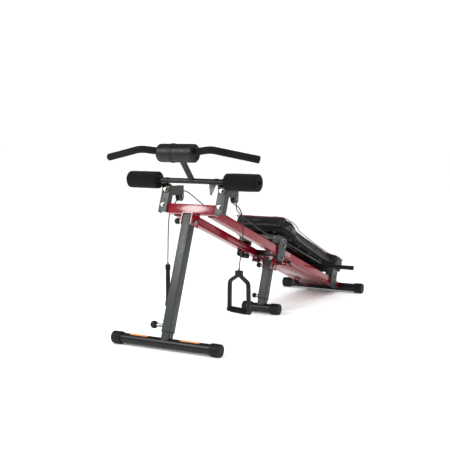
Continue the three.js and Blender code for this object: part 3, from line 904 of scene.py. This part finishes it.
def ripple(obj, depth, scale):
    """Lifts a soft skin a little, unevenly, along its normals."""
    mesh = obj.data
    moves = [
        (v.co + v.normal * depth * noise.noise(v.co * scale)) for v in mesh.vertices
    ]
    for v, co in zip(mesh.vertices, moves):
        v.co = co


# ---- padding ------------------------------------------------------------------
def bake_modifiers(obj):
    """Replaces a piece's mesh with what its modifiers make of it."""
    graph = bpy.context.evaluated_depsgraph_get()
    mesh = bpy.data.meshes.new_from_object(obj.evaluated_get(graph))
    old = obj.data
    obj.modifiers.clear()
    obj.data = mesh
    bpy.data.meshes.remove(old)


def puff(obj, voxel, cap, held, pressure=4.0, frames=20):
    """Swells a closed skin like filled cloth; held(co) gives how far a point is held still."""
    remesh = obj.modifiers.new("even", "REMESH")
    remesh.mode = "VOXEL"
    remesh.voxel_size = voxel
    bake_modifiers(obj)
    start = [v.co.copy() for v in obj.data.vertices]
    group = obj.vertex_groups.new(name="held")
    for i, co in enumerate(start):
        weight = held(co)
        if weight > 0:
            group.add([i], weight, "REPLACE")
    cloth = obj.modifiers.new("swell", "CLOTH")
    settings = cloth.settings
    settings.vertex_group_mass = "held"
    settings.use_pressure = True
    settings.uniform_pressure_force = pressure
    settings.effector_weights.gravity = 0.0
    settings.quality = 5
    settings.tension_stiffness = 15.0
    settings.compression_stiffness = 15.0
    settings.bending_stiffness = 4.0
    settings.air_damping = 2.0
    cloth.point_cache.frame_start = 1
    cloth.point_cache.frame_end = frames
    scene = bpy.context.scene
    for number in range(1, frames + 1):
        scene.frame_set(number)
    graph = bpy.context.evaluated_depsgraph_get()
    swollen = [v.co.copy() for v in obj.evaluated_get(graph).data.vertices]
    obj.modifiers.clear()
    obj.vertex_groups.clear()
    scene.frame_set(1)
    for v, a, b in zip(obj.data.vertices, start, swollen):
        move = b - a
        if move.length > cap:
            move *= cap / move.length
        v.co = a + move
    smooth = obj.modifiers.new("even", "SMOOTH")
    smooth.factor = 0.5
    smooth.iterations = 4
    finer = obj.modifiers.new("finer", "SUBSURF")
    finer.levels = 1
    finer.render_levels = 1
    bake_modifiers(obj)
    obj.data.polygons.foreach_set("use_smooth", [True] * len(obj.data.polygons))


NECK_DROP = 8.0
NECK_HALF = 94.0
NECK_RADIUS = 42.0
NECK_SEAM = -27.0


class BENCH_OT_neck_pad(bpy.types.Operator):
    """Adds the neck pad: a stuffed roll in two sewn parts, with its band, stitches and end rings
    """

    bl_idname = "bench.neck_pad"
    bl_label = "Neck pad"

    def execute(self, context):
        swell = context.scene.bench_sizes.roll_swell / MM
        r = NECK_RADIUS - 0.3 * swell

        def place(u, v, t):
            return floor_at(t, BAR_Y + u, BAR_Z - NECK_DROP + v)

        bm = bmesh.new()
        half = NECK_HALF - 1.0
        bend = 9.0
        profile = [(-half + 3, 22), (-half, 25)]
        for k in reversed(range(6)):
            a = math.pi / 2 * k / 5
            profile.append((-half + bend * (1 - math.sin(a)), r - bend * (1 - math.cos(a))))
        mirror = [(-t, radius) for t, radius in reversed(profile)]
        turned(bm, place, profile + mirror, sides=48)
        obj = piece("neck_pad_cover", bm, "vinyl", "front_frame", ["neck_pad"])
        centre = floor_at(0, BAR_Y, BAR_Z - NECK_DROP)

        def held(co):
            x = co.x / MM
            out = math.hypot(co.y - centre.y, co.z - centre.z) / MM
            if abs(x - NECK_SEAM) < 4 or out < 30:
                return 1.0
            return 0.0

        puff(obj, 0.004, context.scene.bench_sizes.roll_swell, held)
        obj.data.materials.clear()
        obj.data.materials.append(coat("vinyl"))
        # the turned-over edge of the cover, and its stitches
        bm = bmesh.new()
        turned(
            bm, place,
            [(NECK_SEAM - 3, r - 2), (NECK_SEAM - 3, r + 0.9), (NECK_SEAM - 2, r + 1.4),
             (NECK_SEAM + 12, r + 1.4), (NECK_SEAM + 13, r + 0.9), (NECK_SEAM + 13, r - 2)],
            sides=64, loop=True,
        )
        piece("neck_pad_band", bm, "vinyl", "front_frame")
        bm = bmesh.new()
        stitches(bm, [place((r + 1.7) * math.cos(a), (r + 1.7) * math.sin(a), NECK_SEAM)
                      for a in (2 * math.pi * k / 120 for k in range(121))])
        piece("neck_pad_stitches", bm, "thread", "front_frame")
        bm = bmesh.new()
        for _, sign in SIDES:
            turned(
                bm, lambda u, v, t, sign=sign: floor_at(sign * t, BAR_Y + u, BAR_Z + v),
                [(NECK_HALF - 5, 11.2), (NECK_HALF - 5, 17), (NECK_HALF - 1, 17.5),
                 (NECK_HALF, 16.5), (NECK_HALF, 11.2)],
                sides=32, loop=True,
            )
        piece("neck_pad_end_rings", bm, "moulded plastic", "front_frame")
        return {"FINISHED"}


def stitches(bm, line, dash=3.4, skip=1.8, radius=0.45):
    """Short thread dashes along a line of points in metres."""
    lengths = [0.0]
    for a, b in zip(line, line[1:]):
        lengths.append(lengths[-1] + (b - a).length / MM)

    def at(distance):
        for i in range(len(line) - 1):
            if lengths[i + 1] >= distance:
                span = lengths[i + 1] - lengths[i]
                return line[i].lerp(line[i + 1], (distance - lengths[i]) / max(span, 1e-9))
        return line[-1]

    s = 0.0
    while s + dash < lengths[-1]:
        swept(bm, [at(s), at(s + dash / 2), at(s + dash)], radius, sides=6)
        s += dash + skip


class BENCH_OT_foam_rollers(bpy.types.Operator):
    """Adds the two foam rollers on the roller tube"""

    bl_idname = "bench.foam_rollers"
    bl_label = "Foam rollers"

    def execute(self, context):
        start, length, radius, bend = 173.0, 160.0, 38.2, 6.0
        for side, sign in SIDES:
            bm = bmesh.new()
            profile = [(start + 0.4, 12.6), (start + 0.4, 15)]
            for k in range(7):
                a = math.pi / 2 * k / 6
                profile.append(
                    (start + bend * (1 - math.sin(a)), radius - bend * (1 - math.cos(a)))
                )
            profile[2:] = sorted(profile[2:], key=lambda p: p[0] + 0.001 * p[1])
            for k in range(1, 32):
                t = start + bend + (length - 2 * bend) * k / 32
                profile.append((t, radius + 0.4 * math.sin(math.pi * k / 32)))
            far = [(2 * start + length - t, r) for t, r in reversed(profile[:9])]
            profile += far
            turned(
                bm, across((0, -30, 145), sign), profile, sides=64, loop=True,
            )
            obj = piece(f"foam_roller_{side}_sleeve", bm, "foam", f"foam_roller_{side}",
                        [f"foam_roller_{side}"], crease=50)
            ripple(obj, 0.0007, 38.0)
        return {"FINISHED"}


# ---- legs ---------------------------------------------------------------------
LEG_OUTER = 45.0
LEG_INNER = 40.0
FRONT_PIVOT_N = -33.3
MID_PIVOT_N = -37.0
MID_LEG = FRONT_LEG - MID_LEG_AT * math.tan(INCLINE)
FEET = (
    ("front", 0.0, FRONT_LEG, 28.0, FRONT_PIVOT_N, 548.0, 34.0, 30.0, 24.0, 34.0),
    ("mid", MID_LEG_AT, MID_LEG, 25.0, MID_PIVOT_N, 208.0, 26.0, 22.0, 13.0, 14.0),
)


def foot_caps(name, body, s, n, length):
    """Ribbed end caps of a foot bar."""
    bm = bmesh.new()
    for _, sign in SIDES:
        end = length / 2
        profile = [(end - 48, 23.2), (end - 48, 26.5), (end - 47, 27.6)]
        for rib in (-40, -31, -22, -13):
            profile += [(end + rib - 1, 27.9), (end + rib - 0.6, 27.3), (end + rib + 0.6, 27.3),
                        (end + rib + 1, 27.9)]
        profile += [(end - 2.5, 27.6), (end - 0.8, 26.2), (end, 23.5), (end, 19),
                    (end - 1, 18.3), (end - 1, 0.02)]
        turned(bm, across((0, s, n), sign), profile, sides=48)
    piece(name, bm, "ribbed rubber", body)


class BENCH_OT_legs(bpy.types.Operator):
    """Adds both legs, their foot bars, caps, brackets' bolts and the blank marks"""

    bl_idname = "bench.legs"
    bl_label = "Legs and feet"

    def execute(self, context):
        for name, s, length, shown, pivot, foot, *_ in FEET:
            top = pivot + 28
            bottom = -length + 23 + shown
            bm = bmesh.new()
            beam(bm, lambda u, v, t: rail_at(u, s + v, t), LEG_OUTER, LEG_OUTER, corner(),
                 bottom, top, wall=2.0)
            piece(f"{name}_leg_tube", bm, "grey powder coat", f"{name}_leg",
                  [f"{name}_leg"])
            bm = bmesh.new()
            block(bm, rail_at, (-22.3, 22.3), (s - 22.3, s + 22.3), (bottom - 4, bottom - 0.2),
                  1.2, 2)
            piece(f"{name}_leg_bush", bm, "moulded plastic", f"{name}_leg")
            bm = bmesh.new()
            beam(bm, lambda u, v, t: rail_at(u, s + v, t), LEG_INNER, LEG_INNER, corner(),
                 -length + 12, bottom + 110, wall=2.0)
            piece(f"{name}_foot_inner_leg", bm, "grey powder coat", f"{name}_foot")
            bm = bmesh.new()
            half = foot / 2
            turned(
                bm, across((0, s, -length)),
                [(-half + 3, 10), (-half + 3, 23), (half - 3, 23), (half - 3, 10)], sides=48,
            )
            piece(f"{name}_foot_bar", bm, "black satin", f"{name}_foot",
                  [f"{name}_foot"])
            # the weld between the inner leg and the bar
            bm = bmesh.new()
            weld = [
                rail_at(u, s + v, -length + math.sqrt(max(23.0**2 - v * v, 0.0)) + 0.8)
                for u, v in rounded(LEG_INNER + 1, LEG_INNER + 1, 5, 6)
            ]
            swept(bm, weld + weld[:2], 2.2, 8)
            piece(f"{name}_foot_weld", bm, "black satin", f"{name}_foot")
            foot_caps(f"{name}_foot_caps", f"{name}_foot", s, -length, foot)
            bm = bmesh.new()
            hex_bolt(bm, across((27.0, s + 8, pivot), 1), size=17)
            lock_nut(bm, across((-27.0, s + 8, pivot), -1))
            piece(f"{name}_leg_pivot_fixings", bm, "zinc", "front_frame")
        bm = bmesh.new()
        for low, high in ((-181, -90), (76, 171)):
            outside, inside = [], []
            for k in range(9):
                a = math.radians(70 + 62 * k / 8)
                outside.append((23.5 * math.cos(a), 23.5 * math.sin(a)))
                inside.append((22.9 * math.cos(a), 22.9 * math.sin(a)))
            outline = outside + inside[::-1]
            lean = math.radians(4)
            turned_outline = [
                (a * math.cos(lean) - b * math.sin(lean), a * math.sin(lean) + b * math.cos(lean))
                for a, b in outline
            ]
            loft(bm, [[rail_at(x, a, -FRONT_LEG + b) for a, b in turned_outline]
                      for x in (low, high)])
        piece("front_foot_blank_marks", bm, "blank mark", "front_foot")
        return {"FINISHED"}


class BENCH_OT_pull_pins(bpy.types.Operator):
    """Adds the height pins and fold lock pins: knob, shaft and barrel"""

    bl_idname = "bench.pull_pins"
    bl_label = "Pull pins"

    def execute(self, context):
        for name, s, length, shown, pivot, _, knob, depth, rise, barrel in FEET:
            pin_n = -length + 23 + shown + rise
            for kind, at_s, at_n, size, deep, barrel_body, body, end in (
                ("height", s, pin_n, knob, depth, f"{name}_leg", f"{name}_pin", 27.3 + barrel),
                ("lock", s - 13, pivot - 4, 28.0, 24.0, "front_frame", f"{name}_lock_pin", 36.3),
            ):
                face = 22.5 if kind == "height" else 27.3
                place = across((0, at_s, at_n), -1)
                bm = bmesh.new()
                turned(
                    bm, place,
                    [(face, 3.9), (face, 9.5), (face + 1.5, 9.5), (face + 1.6, 8.4)], sides=6,
                )
                turned(
                    bm, place,
                    [(face + 1.2, 3.8), (face + 1.2, 7.8), (end - 6, 7.8), (end - 5.6, 7.2),
                     (end - 3.6, 7.2), (end - 3.2, 7.8), (end - 1.2, 7.8), (end - 0.8, 7.2),
                     (end - 0.8, 3.8)],
                    sides=28, loop=True,
                )
                piece(f"{name}_{kind}_pin_barrel", bm, "zinc", barrel_body)
                bm = bmesh.new()
                r = size / 2
                tip = 20.4 if kind == "height" else 22.9
                profile = [(tip, 2.8), (tip + 0.8, 3.4), (end, 3.4), (end, 0.5 * r),
                           (end + 1, 0.56 * r)]
                for k in range(1, 12):
                    a = math.pi * k / 12
                    profile.append(
                        (end + deep / 2 * (1 - math.cos(a)), r * math.sin(a) ** 0.55)
                    )
                profile.append((end + deep, 0.02))
                turned(bm, place, profile, sides=40)
                piece(f"{name}_{kind}_pin_knob", bm, "moulded plastic", body,
                      [f"{name}_leg_{kind}_pin"], crease=50)
        return {"FINISHED"}


class BENCH_OT_hinges(bpy.types.Operator):
    """Adds bolt heads and knobs over the fold hinges' pins"""

    bl_idname = "bench.hinges"
    bl_label = "Fold hinges"

    def execute(self, context):
        for side, sign in SIDES:
            x = sign * RAIL_SPREAD
            bm = bmesh.new()
            hex_bolt(bm, across((x - 14.5, FOLD_AT, -10), -1), size=15.5, height=5.5)
            piece(f"fold_hinge_{side}_bolt", bm, "zinc", "front_frame")
            bm = bmesh.new()
            profile = [(12, 4.5), (12, 9.4), (13, 9.9)]
            for k in range(1, 7):
                a = math.pi / 2 * k / 6
                profile.append((20 + 7.4 * math.sin(a), 9.9 * math.cos(a) ** 0.6))
            turned(bm, across((x, FOLD_AT, -10), 1), profile, sides=28)
            piece(f"fold_hinge_{side}_knob", bm, "moulded plastic", "front_frame")
        return {"FINISHED"}


# ---- rear foot ------------------------------------------------------------------
REAR_S = 1594.0
REAR_N = 17.0


class BENCH_OT_rear_foot(bpy.types.Operator):
    """Adds the rear foot bar, its caps, and the saddles that join it to the rails"""

    bl_idname = "bench.rear_foot"
    bl_label = "Rear foot"

    def execute(self, context):
        bm = bmesh.new()
        half = 252.5
        turned(
            bm, across((0, REAR_S, REAR_N)),
            [(-half + 3, 10), (-half + 3, 23), (half - 3, 23), (half - 3, 10)], sides=48,
        )
        piece("rear_foot_bar", bm, "black satin", "rear_frame", ["rear_foot"])
        foot_caps("rear_foot_caps", "rear_frame", REAR_S, REAR_N, 2 * half)
        for side, sign in SIDES:
            x = sign * RAIL_SPREAD
            outline = [(1569.3, 38), (1569.3, 1), (1577.5, 1)]
            for k in range(9):
                a = math.radians(224 - (224 - 92) * k / 8)
                outline.append((REAR_S + 23.3 * math.cos(a), REAR_N + 23.3 * math.sin(a)))
            outline.append((1593, 42))
            bm = bmesh.new()
            plate(bm, lambda a, b, t, x=x: rail_at(x + t, a, b), outline, -20, 20)
            piece(f"rear_saddle_{side}_block", bm, "red enamel", "rear_frame",
                  [f"rear_saddle_{side}"])
            bm = bmesh.new()
            hex_bolt(bm, upward((x, 1586, 41.5)), size=11, height=4)
            piece(f"rear_saddle_{side}_bolt", bm, "zinc", "rear_frame")
        return {"FINISHED"}


# ---- carriage ---------------------------------------------------------------------
FRONT_BRACKET = 700.0
REAR_BRACKET = 1436.0
AXLE_S = 58.0
WHEEL_N = 53.3
LOWER_N = -13.3


class BENCH_OT_carriage(bpy.types.Operator):
    """Adds the carriage's wheels, axle bolts, stringers and the rear cross handle"""

    bl_idname = "bench.carriage"
    bl_label = "Carriage"

    def execute(self, context):
        wheels = [
            (f"wheel_{where}_{side}", sign, at + AXLE_S, n)
            for where, at, n in (
                ("front", FRONT_BRACKET, WHEEL_N),
                ("rear", REAR_BRACKET, WHEEL_N),
                ("lower", FRONT_BRACKET, LOWER_N),
            )
            for side, sign in SIDES
        ]
        for name, sign, s, n in wheels:
            bm = bmesh.new()
            turned(
                bm, across((sign * RAIL_SPREAD, s, n), sign),
                [(-11, 4.3), (-11, 7.2), (-10, 7.6), (-10, 10), (-10.8, 10.6), (-10.8, 12.2),
                 (-9.8, 13), (9.8, 13), (10.8, 12.2), (10.8, 10.6), (10, 10), (10, 7.6),
                 (11, 7.2), (11, 4.3)],
                sides=40, loop=True,
            )
            piece(f"{name}_tyre", bm, "moulded plastic", name, [name])
        bm = bmesh.new()
        for name, sign, s, n in wheels:
            hex_bolt(bm, across((sign * 117.0, s, n), sign), size=13, height=5)
        for sign in (-1, 1):
            for at in (FRONT_BRACKET, REAR_BRACKET):
                dome_bolt(bm, across((sign * 117.0, at + 22, 80), sign), 14, 4)
        piece("carriage_bolts", bm, "zinc", "carriage")
        for side, sign in SIDES:
            bm = bmesh.new()
            beam(bm, lambda u, v, t: rail_at(sign * 55 + u, t, 100.15 + v), 30, 15.5, 3.5,
                 690, 1496, wall=2.0)
            piece(f"carriage_stringer_{side}_tube", bm, "black satin", "carriage",
                  [f"carriage_stringer_{side}"])
        bm = bmesh.new()
        reach = 280.0
        turned(
            bm, across((0, 1330, 80)),
            [(-reach, 3), (-reach, 10), (-reach + 2, 12), (reach - 2, 12), (reach, 10),
             (reach, 3)],
            sides=32,
        )
        piece("rear_handle_tube", bm, "black satin", "carriage",
              ["rear_handle"])
        bm = bmesh.new()
        for _, sign in SIDES:
            turned(
                bm, across((0, 1330, 80), sign),
                [(reach - 22, 12.05), (reach - 22, 12.5), (reach - 1, 12.5), (reach, 11.5),
                 (reach, 0.02)],
                sides=32,
            )
        piece("rear_handle_caps", bm, "moulded plastic", "carriage")
        return {"FINISHED"}


PAD_AT = 655.0
PAD_END = 1630.0
PAD_LOW = 123.6
PAD_THICK = 58.0


def pad_outline(inset, step=9.0):
    """The pad's rounded outline: square front, wide shoulders, long waist, wider tail."""
    half = [
        (0, PAD_AT), (60, PAD_AT), (110, PAD_AT), (126, PAD_AT + 1), (137, PAD_AT + 8),
        (142, PAD_AT + 26), (146, PAD_AT + 82), (147, PAD_AT + 116), (136, PAD_AT + 180),
        (112, PAD_AT + 265),
        (98, PAD_AT + 400), (84, PAD_AT + 640), (82, PAD_AT + 770), (90, PAD_AT + 800),
        (106, PAD_AT + 824), (110, PAD_AT + 850), (108, PAD_END - 40), (100, PAD_END - 16),
        (82, PAD_END - 2), (40, PAD_END), (0, PAD_END),
    ]
    right = smooth_path([Vector((x, s, 0)) for x, s in half], step)
    points = [(p.x, p.y) for p in right]
    points += [(-x, s) for x, s in reversed(points[1:-1])]
    return shrink(points, inset)


class BENCH_OT_pad(bpy.types.Operator):
    """Adds the upholstered pad with its piping, and the board's screws"""

    bl_idname = "bench.pad"
    bl_label = "Pad"

    def execute(self, context):
        sizes = context.scene.bench_sizes
        swell = sizes.pad_swell / MM
        low, high = PAD_LOW + 0.4, PAD_LOW + PAD_THICK - 1.0 - 0.2 * swell
        side = 0.45 * swell
        bm = bmesh.new()
        rings = [
            [rail_at(x, s, n) for x, s in pad_outline(side + inset)]
            for inset, n in (
                (4.0, low), (0.8, low + 1.5), (0.0, low + 5), (0.0, high - 6),
                (1.6, high - 2), (7.0, high),
            )
        ]
        loft(bm, rings)
        obj = piece("pad_cover", bm, "vinyl", "carriage", ["pad"])
        under = rail_at(0, 0, low + 3)
        away = Vector((0, math.sin(INCLINE), math.cos(INCLINE)))

        def held(co):
            if (co - under).dot(away) < 0:
                return 1.0
            return 0.0

        puff(obj, 0.0065, sizes.pad_swell, held)
        obj.data.materials.clear()
        obj.data.materials.append(coat("vinyl"))
        radius = sizes.piping / MM / 2
        for name, n in (("upper", high - 3.0), ("lower", low + 3.0)):
            line = [rail_at(x, s, n) for x, s in pad_outline(side - 0.8)]
            bm = bmesh.new()
            swept(bm, line + line[:2], radius, 10)
            piece(f"pad_piping_{name}", bm, "piping" if name == "upper" else "vinyl",
                  "carriage")
        bm = bmesh.new()
        for x, s in ((45, 690), (45, 745), (60, 850), (45, 1000), (45, 1150), (45, 1300),
                     (45, 1450), (45, 1600)):
            for sign in (-1, 1):
                dome_bolt(bm, upward((sign * (x + 38), s, PAD_LOW - 15.4), -1), 9, 2.5)
        piece("pad_board_screws", bm, "zinc", "carriage")
        return {"FINISHED"}


# ---- pulleys and stirrups -----------------------------------------------------------
SHEAVE_AT = 145.0
SHEAVE_Y = 348.0
SHEAVE_Z = 637.0


class BENCH_OT_pulleys(bpy.types.Operator):
    """Adds the pulleys' axle bolts and nuts and the cable clamps on the carriage"""

    bl_idname = "bench.pulleys"
    bl_label = "Pulleys"

    def execute(self, context):
        bm = bmesh.new()
        for _, sign in SIDES:
            x = sign * SHEAVE_AT
            hex_bolt(bm, across((x + sign * 10.5, SHEAVE_Y, SHEAVE_Z), sign, floor_at),
                     size=13, height=4, washer=1.2)
            lock_nut(bm, across((x - sign * 10.5, SHEAVE_Y, SHEAVE_Z), -sign, floor_at),
                     size=13, height=4)
        piece("pulley_axle_fixings", bm, "zinc", "front_frame")
        bm = bmesh.new()
        for _, sign in SIDES:
            end = Vector((sign * 97, 862, 395))
            back = Vector((0, 830 - 862, 412 - 395)).normalized()
            line = [floor_at(*(end + back * t)) for t in (0, 8, 18, 24)]
            swept(bm, line, 4.2, 14, round_ends=1.2)
        piece("cable_run_ferrules", bm, "zinc", "carriage")
        return {"FINISHED"}


STIRRUPS = (("left", -198.0, math.radians(-58)), ("right", 181.0, math.radians(-14)))
STIRRUP_TOP = 314.0


class BENCH_OT_stirrups(bpy.types.Operator):
    """Adds the two moulded stirrups, their foam grips and cable ferrules"""

    bl_idname = "bench.stirrups"
    bl_label = "Stirrups"

    def execute(self, context):
        for side, at, yaw in STIRRUPS:
            def place(x, y, z, at=at, yaw=yaw):
                return floor_at(
                    at + x * math.cos(yaw) - y * math.sin(yaw),
                    326 + x * math.sin(yaw) + y * math.cos(yaw),
                    STIRRUP_TOP + z,
                )

            bm = bmesh.new()
            block(bm, place, (-16, 16), (-12, 12), (-24, 0), 3.0, 3)
            half = 67.0
            low = -181.0
            for sign in (-1, 1):
                spine = [
                    (sign * 9, -22), (sign * 20, -30), (sign * 38, -41), (sign * 52, -51),
                    (sign * 56, -66), (sign * 57, -98), (sign * 57.8, -140),
                    (sign * 58, low - 8),
                ]
                line = smooth_path([Vector((x, z, 0)) for x, z in spine], 6.0)
                rings = []
                for i, p in enumerate(line):
                    along = (line[min(i + 1, len(line) - 1)] - line[max(i - 1, 0)]).normalized()
                    aside = Vector((along.y, -along.x, 0))
                    rings.append(
                        [place(p.x + aside.x * u, v, p.y + aside.y * u)
                         for u, v in rounded(15, 19, 4, 4)]
                    )
                loft(bm, rings)
                turned(
                    bm, lambda u, v, t: place(t, u, low + v),
                    [(sign * (half - 17), 3), (sign * (half - 17), 10.5),
                     (sign * (half - 15), 12), (sign * (half - 2), 12), (sign * half, 10.5),
                     (sign * half, 3)],
                    sides=28,
                )
            turned(
                bm, lambda u, v, t: place(t, u, low + v),
                [(-half + 4, 5), (half - 4, 5)], sides=20,
            )
            piece(f"stirrup_{side}_frame", bm, "moulded plastic", f"stirrup_{side}",
                  [f"stirrup_{side}"], crease=40)
            bm = bmesh.new()
            reach = 48.4
            profile = [(-reach, 6), (-reach, 12.2), (-reach + 1.5, 13.6)]
            for k in range(1, 24):
                t = -reach + 1.5 + (2 * reach - 3) * k / 24
                profile.append((t, 13.6 + (0.4 if k % 2 else -0.3)))
            profile += [(reach - 1.5, 13.6), (reach, 12.2), (reach, 6)]
            turned(bm, lambda u, v, t: place(t, u, low + v), profile, sides=36, loop=True)
            grip = piece(f"stirrup_grip_{side}_sleeve", bm, "foam", f"stirrup_grip_{side}",
                         [f"stirrup_grip_{side}"], crease=60)
            bm = bmesh.new()
            turned(
                bm, lambda u, v, t: place(u, v, t),
                [(-2, 7), (0.2, 7), (0.8, 5.5), (9, 4.6), (10, 3.6), (10, 2.6)], sides=20,
            )
            piece(f"stirrup_{side}_ferrule", bm, "zinc", f"stirrup_{side}")
        return {"FINISHED"}


class BENCH_OT_finishes(bpy.types.Operator):
    """Gives every node carried over from the frame its finish"""

    bl_idname = "bench.finishes"
    bl_label = "Finishes"

    def execute(self, context):
        finish_of = {
            "red_paint": "red enamel", "grey_paint": "grey powder coat",
            "black_paint": "black satin", "moulded_plastic": "moulded plastic",
            "foam": "foam", "vinyl": "vinyl", "board": "board",
            "cable_sheath": "cable sheath",
        }
        slots = {
            part["node"]: part["material_slot"] for part in frame["record"]["subparts"]
        }
        for name, node in frame["nodes"].items():
            if name not in slots:
                raise RuntimeError(f"{name} has no material slot")
            for holder in node.material_slots:
                holder.material = coat(finish_of[slots[name]])
            if not node.material_slots:
                node.data.materials.append(coat(finish_of[slots[name]]))
        return {"FINISHED"}


# ---- stage ------------------------------------------------------------------------
class BENCH_OT_stage(bpy.types.Operator):
    """Adds the pale floor, the bright surround and four soft lights"""

    bl_idname = "bench.stage"
    bl_label = "Stage"

    def execute(self, context):
        bm = bmesh.new()
        reach = 60.0
        rows = 12
        verts = [
            [bm.verts.new((reach * (i / rows - 0.5), reach * (j / rows - 0.5), -0.0004))
             for j in range(rows + 1)]
            for i in range(rows + 1)
        ]
        for i in range(rows):
            for j in range(rows):
                bm.faces.new((verts[i][j], verts[i + 1][j], verts[i + 1][j + 1],
                              verts[i][j + 1]))
        mesh = bpy.data.meshes.new("studio_floor")
        bm.to_mesh(mesh)
        bm.free()
        mesh.materials.append(coat("floor"))
        floor = bpy.data.objects.new("studio_floor", mesh)
        context.scene.collection.objects.link(floor)

        world = bpy.data.worlds.new("studio")
        world.use_nodes = True
        tree = world.node_tree
        background = tree.nodes["Background"]
        background.inputs["Color"].default_value = (1.0, 1.0, 1.0, 1.0)
        # polished faces see a dimmer room than the eye does
        glossy = wire(tree, "ShaderNodeLightPath").outputs["Is Glossy Ray"]
        strength = spread(tree, glossy, 1.16, 0.2, 0.0, 1.0)
        tree.links.new(strength, background.inputs["Strength"])
        context.scene.world = world
        context.scene.view_settings.view_transform = "Standard"
        for name, at, aim, size, watts in (
            ("key", (-1.7, -3.6, 2.6), (0.0, -0.5, 0.4), 1.6, 12.0),
            ("softbox", (-1.25, -2.5, 1.9), (0.0, -0.66, 0.65), 0.9, 40.0),
            ("fill", (3.4, -1.4, 2.2), (0.0, -0.3, 0.4), 2.0, 22.0),
            ("top", (0.2, 0.6, 3.6), (0.0, 0.0, 0.3), 2.6, 30.0),
        ):
            data = bpy.data.lights.new(name, "AREA")
            data.shape = "DISK"
            data.size = size
            data.energy = watts
            light = bpy.data.objects.new(name, data)
            light.location = at
            direction = Vector(aim) - Vector(at)
            light.rotation_euler = direction.to_track_quat("-Z", "Y").to_euler()
            context.scene.collection.objects.link(light)
        return {"FINISHED"}


# ---- panel and running --------------------------------------------------------------
OPERATORS = (
    BENCH_OT_camera,
    BENCH_OT_cables,
    BENCH_OT_finishes,
    BENCH_OT_rails,
    BENCH_OT_uprights,
    BENCH_OT_handlebar,
    BENCH_OT_neck_pad,
    BENCH_OT_foam_rollers,
    BENCH_OT_legs,
    BENCH_OT_pull_pins,
    BENCH_OT_hinges,
    BENCH_OT_rear_foot,
    BENCH_OT_carriage,
    BENCH_OT_pad,
    BENCH_OT_pulleys,
    BENCH_OT_stirrups,
    BENCH_OT_stage,
)


class BENCH_PT_panel(bpy.types.Panel):
    """Lists the bench's finishes, sizes and pieces"""

    bl_idname = "BENCH_PT_panel"
    bl_label = "Bench"
    bl_space_type = "VIEW_3D"
    bl_region_type = "UI"
    bl_category = "Bench"

    def draw(self, context):
        for group in (context.scene.bench_finishes, context.scene.bench_sizes):
            for name in group.__annotations__:
                self.layout.prop(group, name)
        for operator in OPERATORS:
            self.layout.operator(operator.bl_idname)


CLASSES = (BenchFinishes, BenchSizes, *OPERATORS, BENCH_PT_panel)


def register():
    for cls in CLASSES:
        bpy.utils.register_class(cls)
    bpy.types.Scene.bench_finishes = PointerProperty(type=BenchFinishes)
    bpy.types.Scene.bench_sizes = PointerProperty(type=BenchSizes)


def unregister():
    del bpy.types.Scene.bench_sizes
    del bpy.types.Scene.bench_finishes
    for cls in reversed(CLASSES):
        bpy.utils.unregister_class(cls)


def main():
    register()
    for operator in OPERATORS:
        group, name = operator.bl_idname.split(".")
        getattr(getattr(bpy.ops, group), name)()


if __name__ == "__main__":
    main()
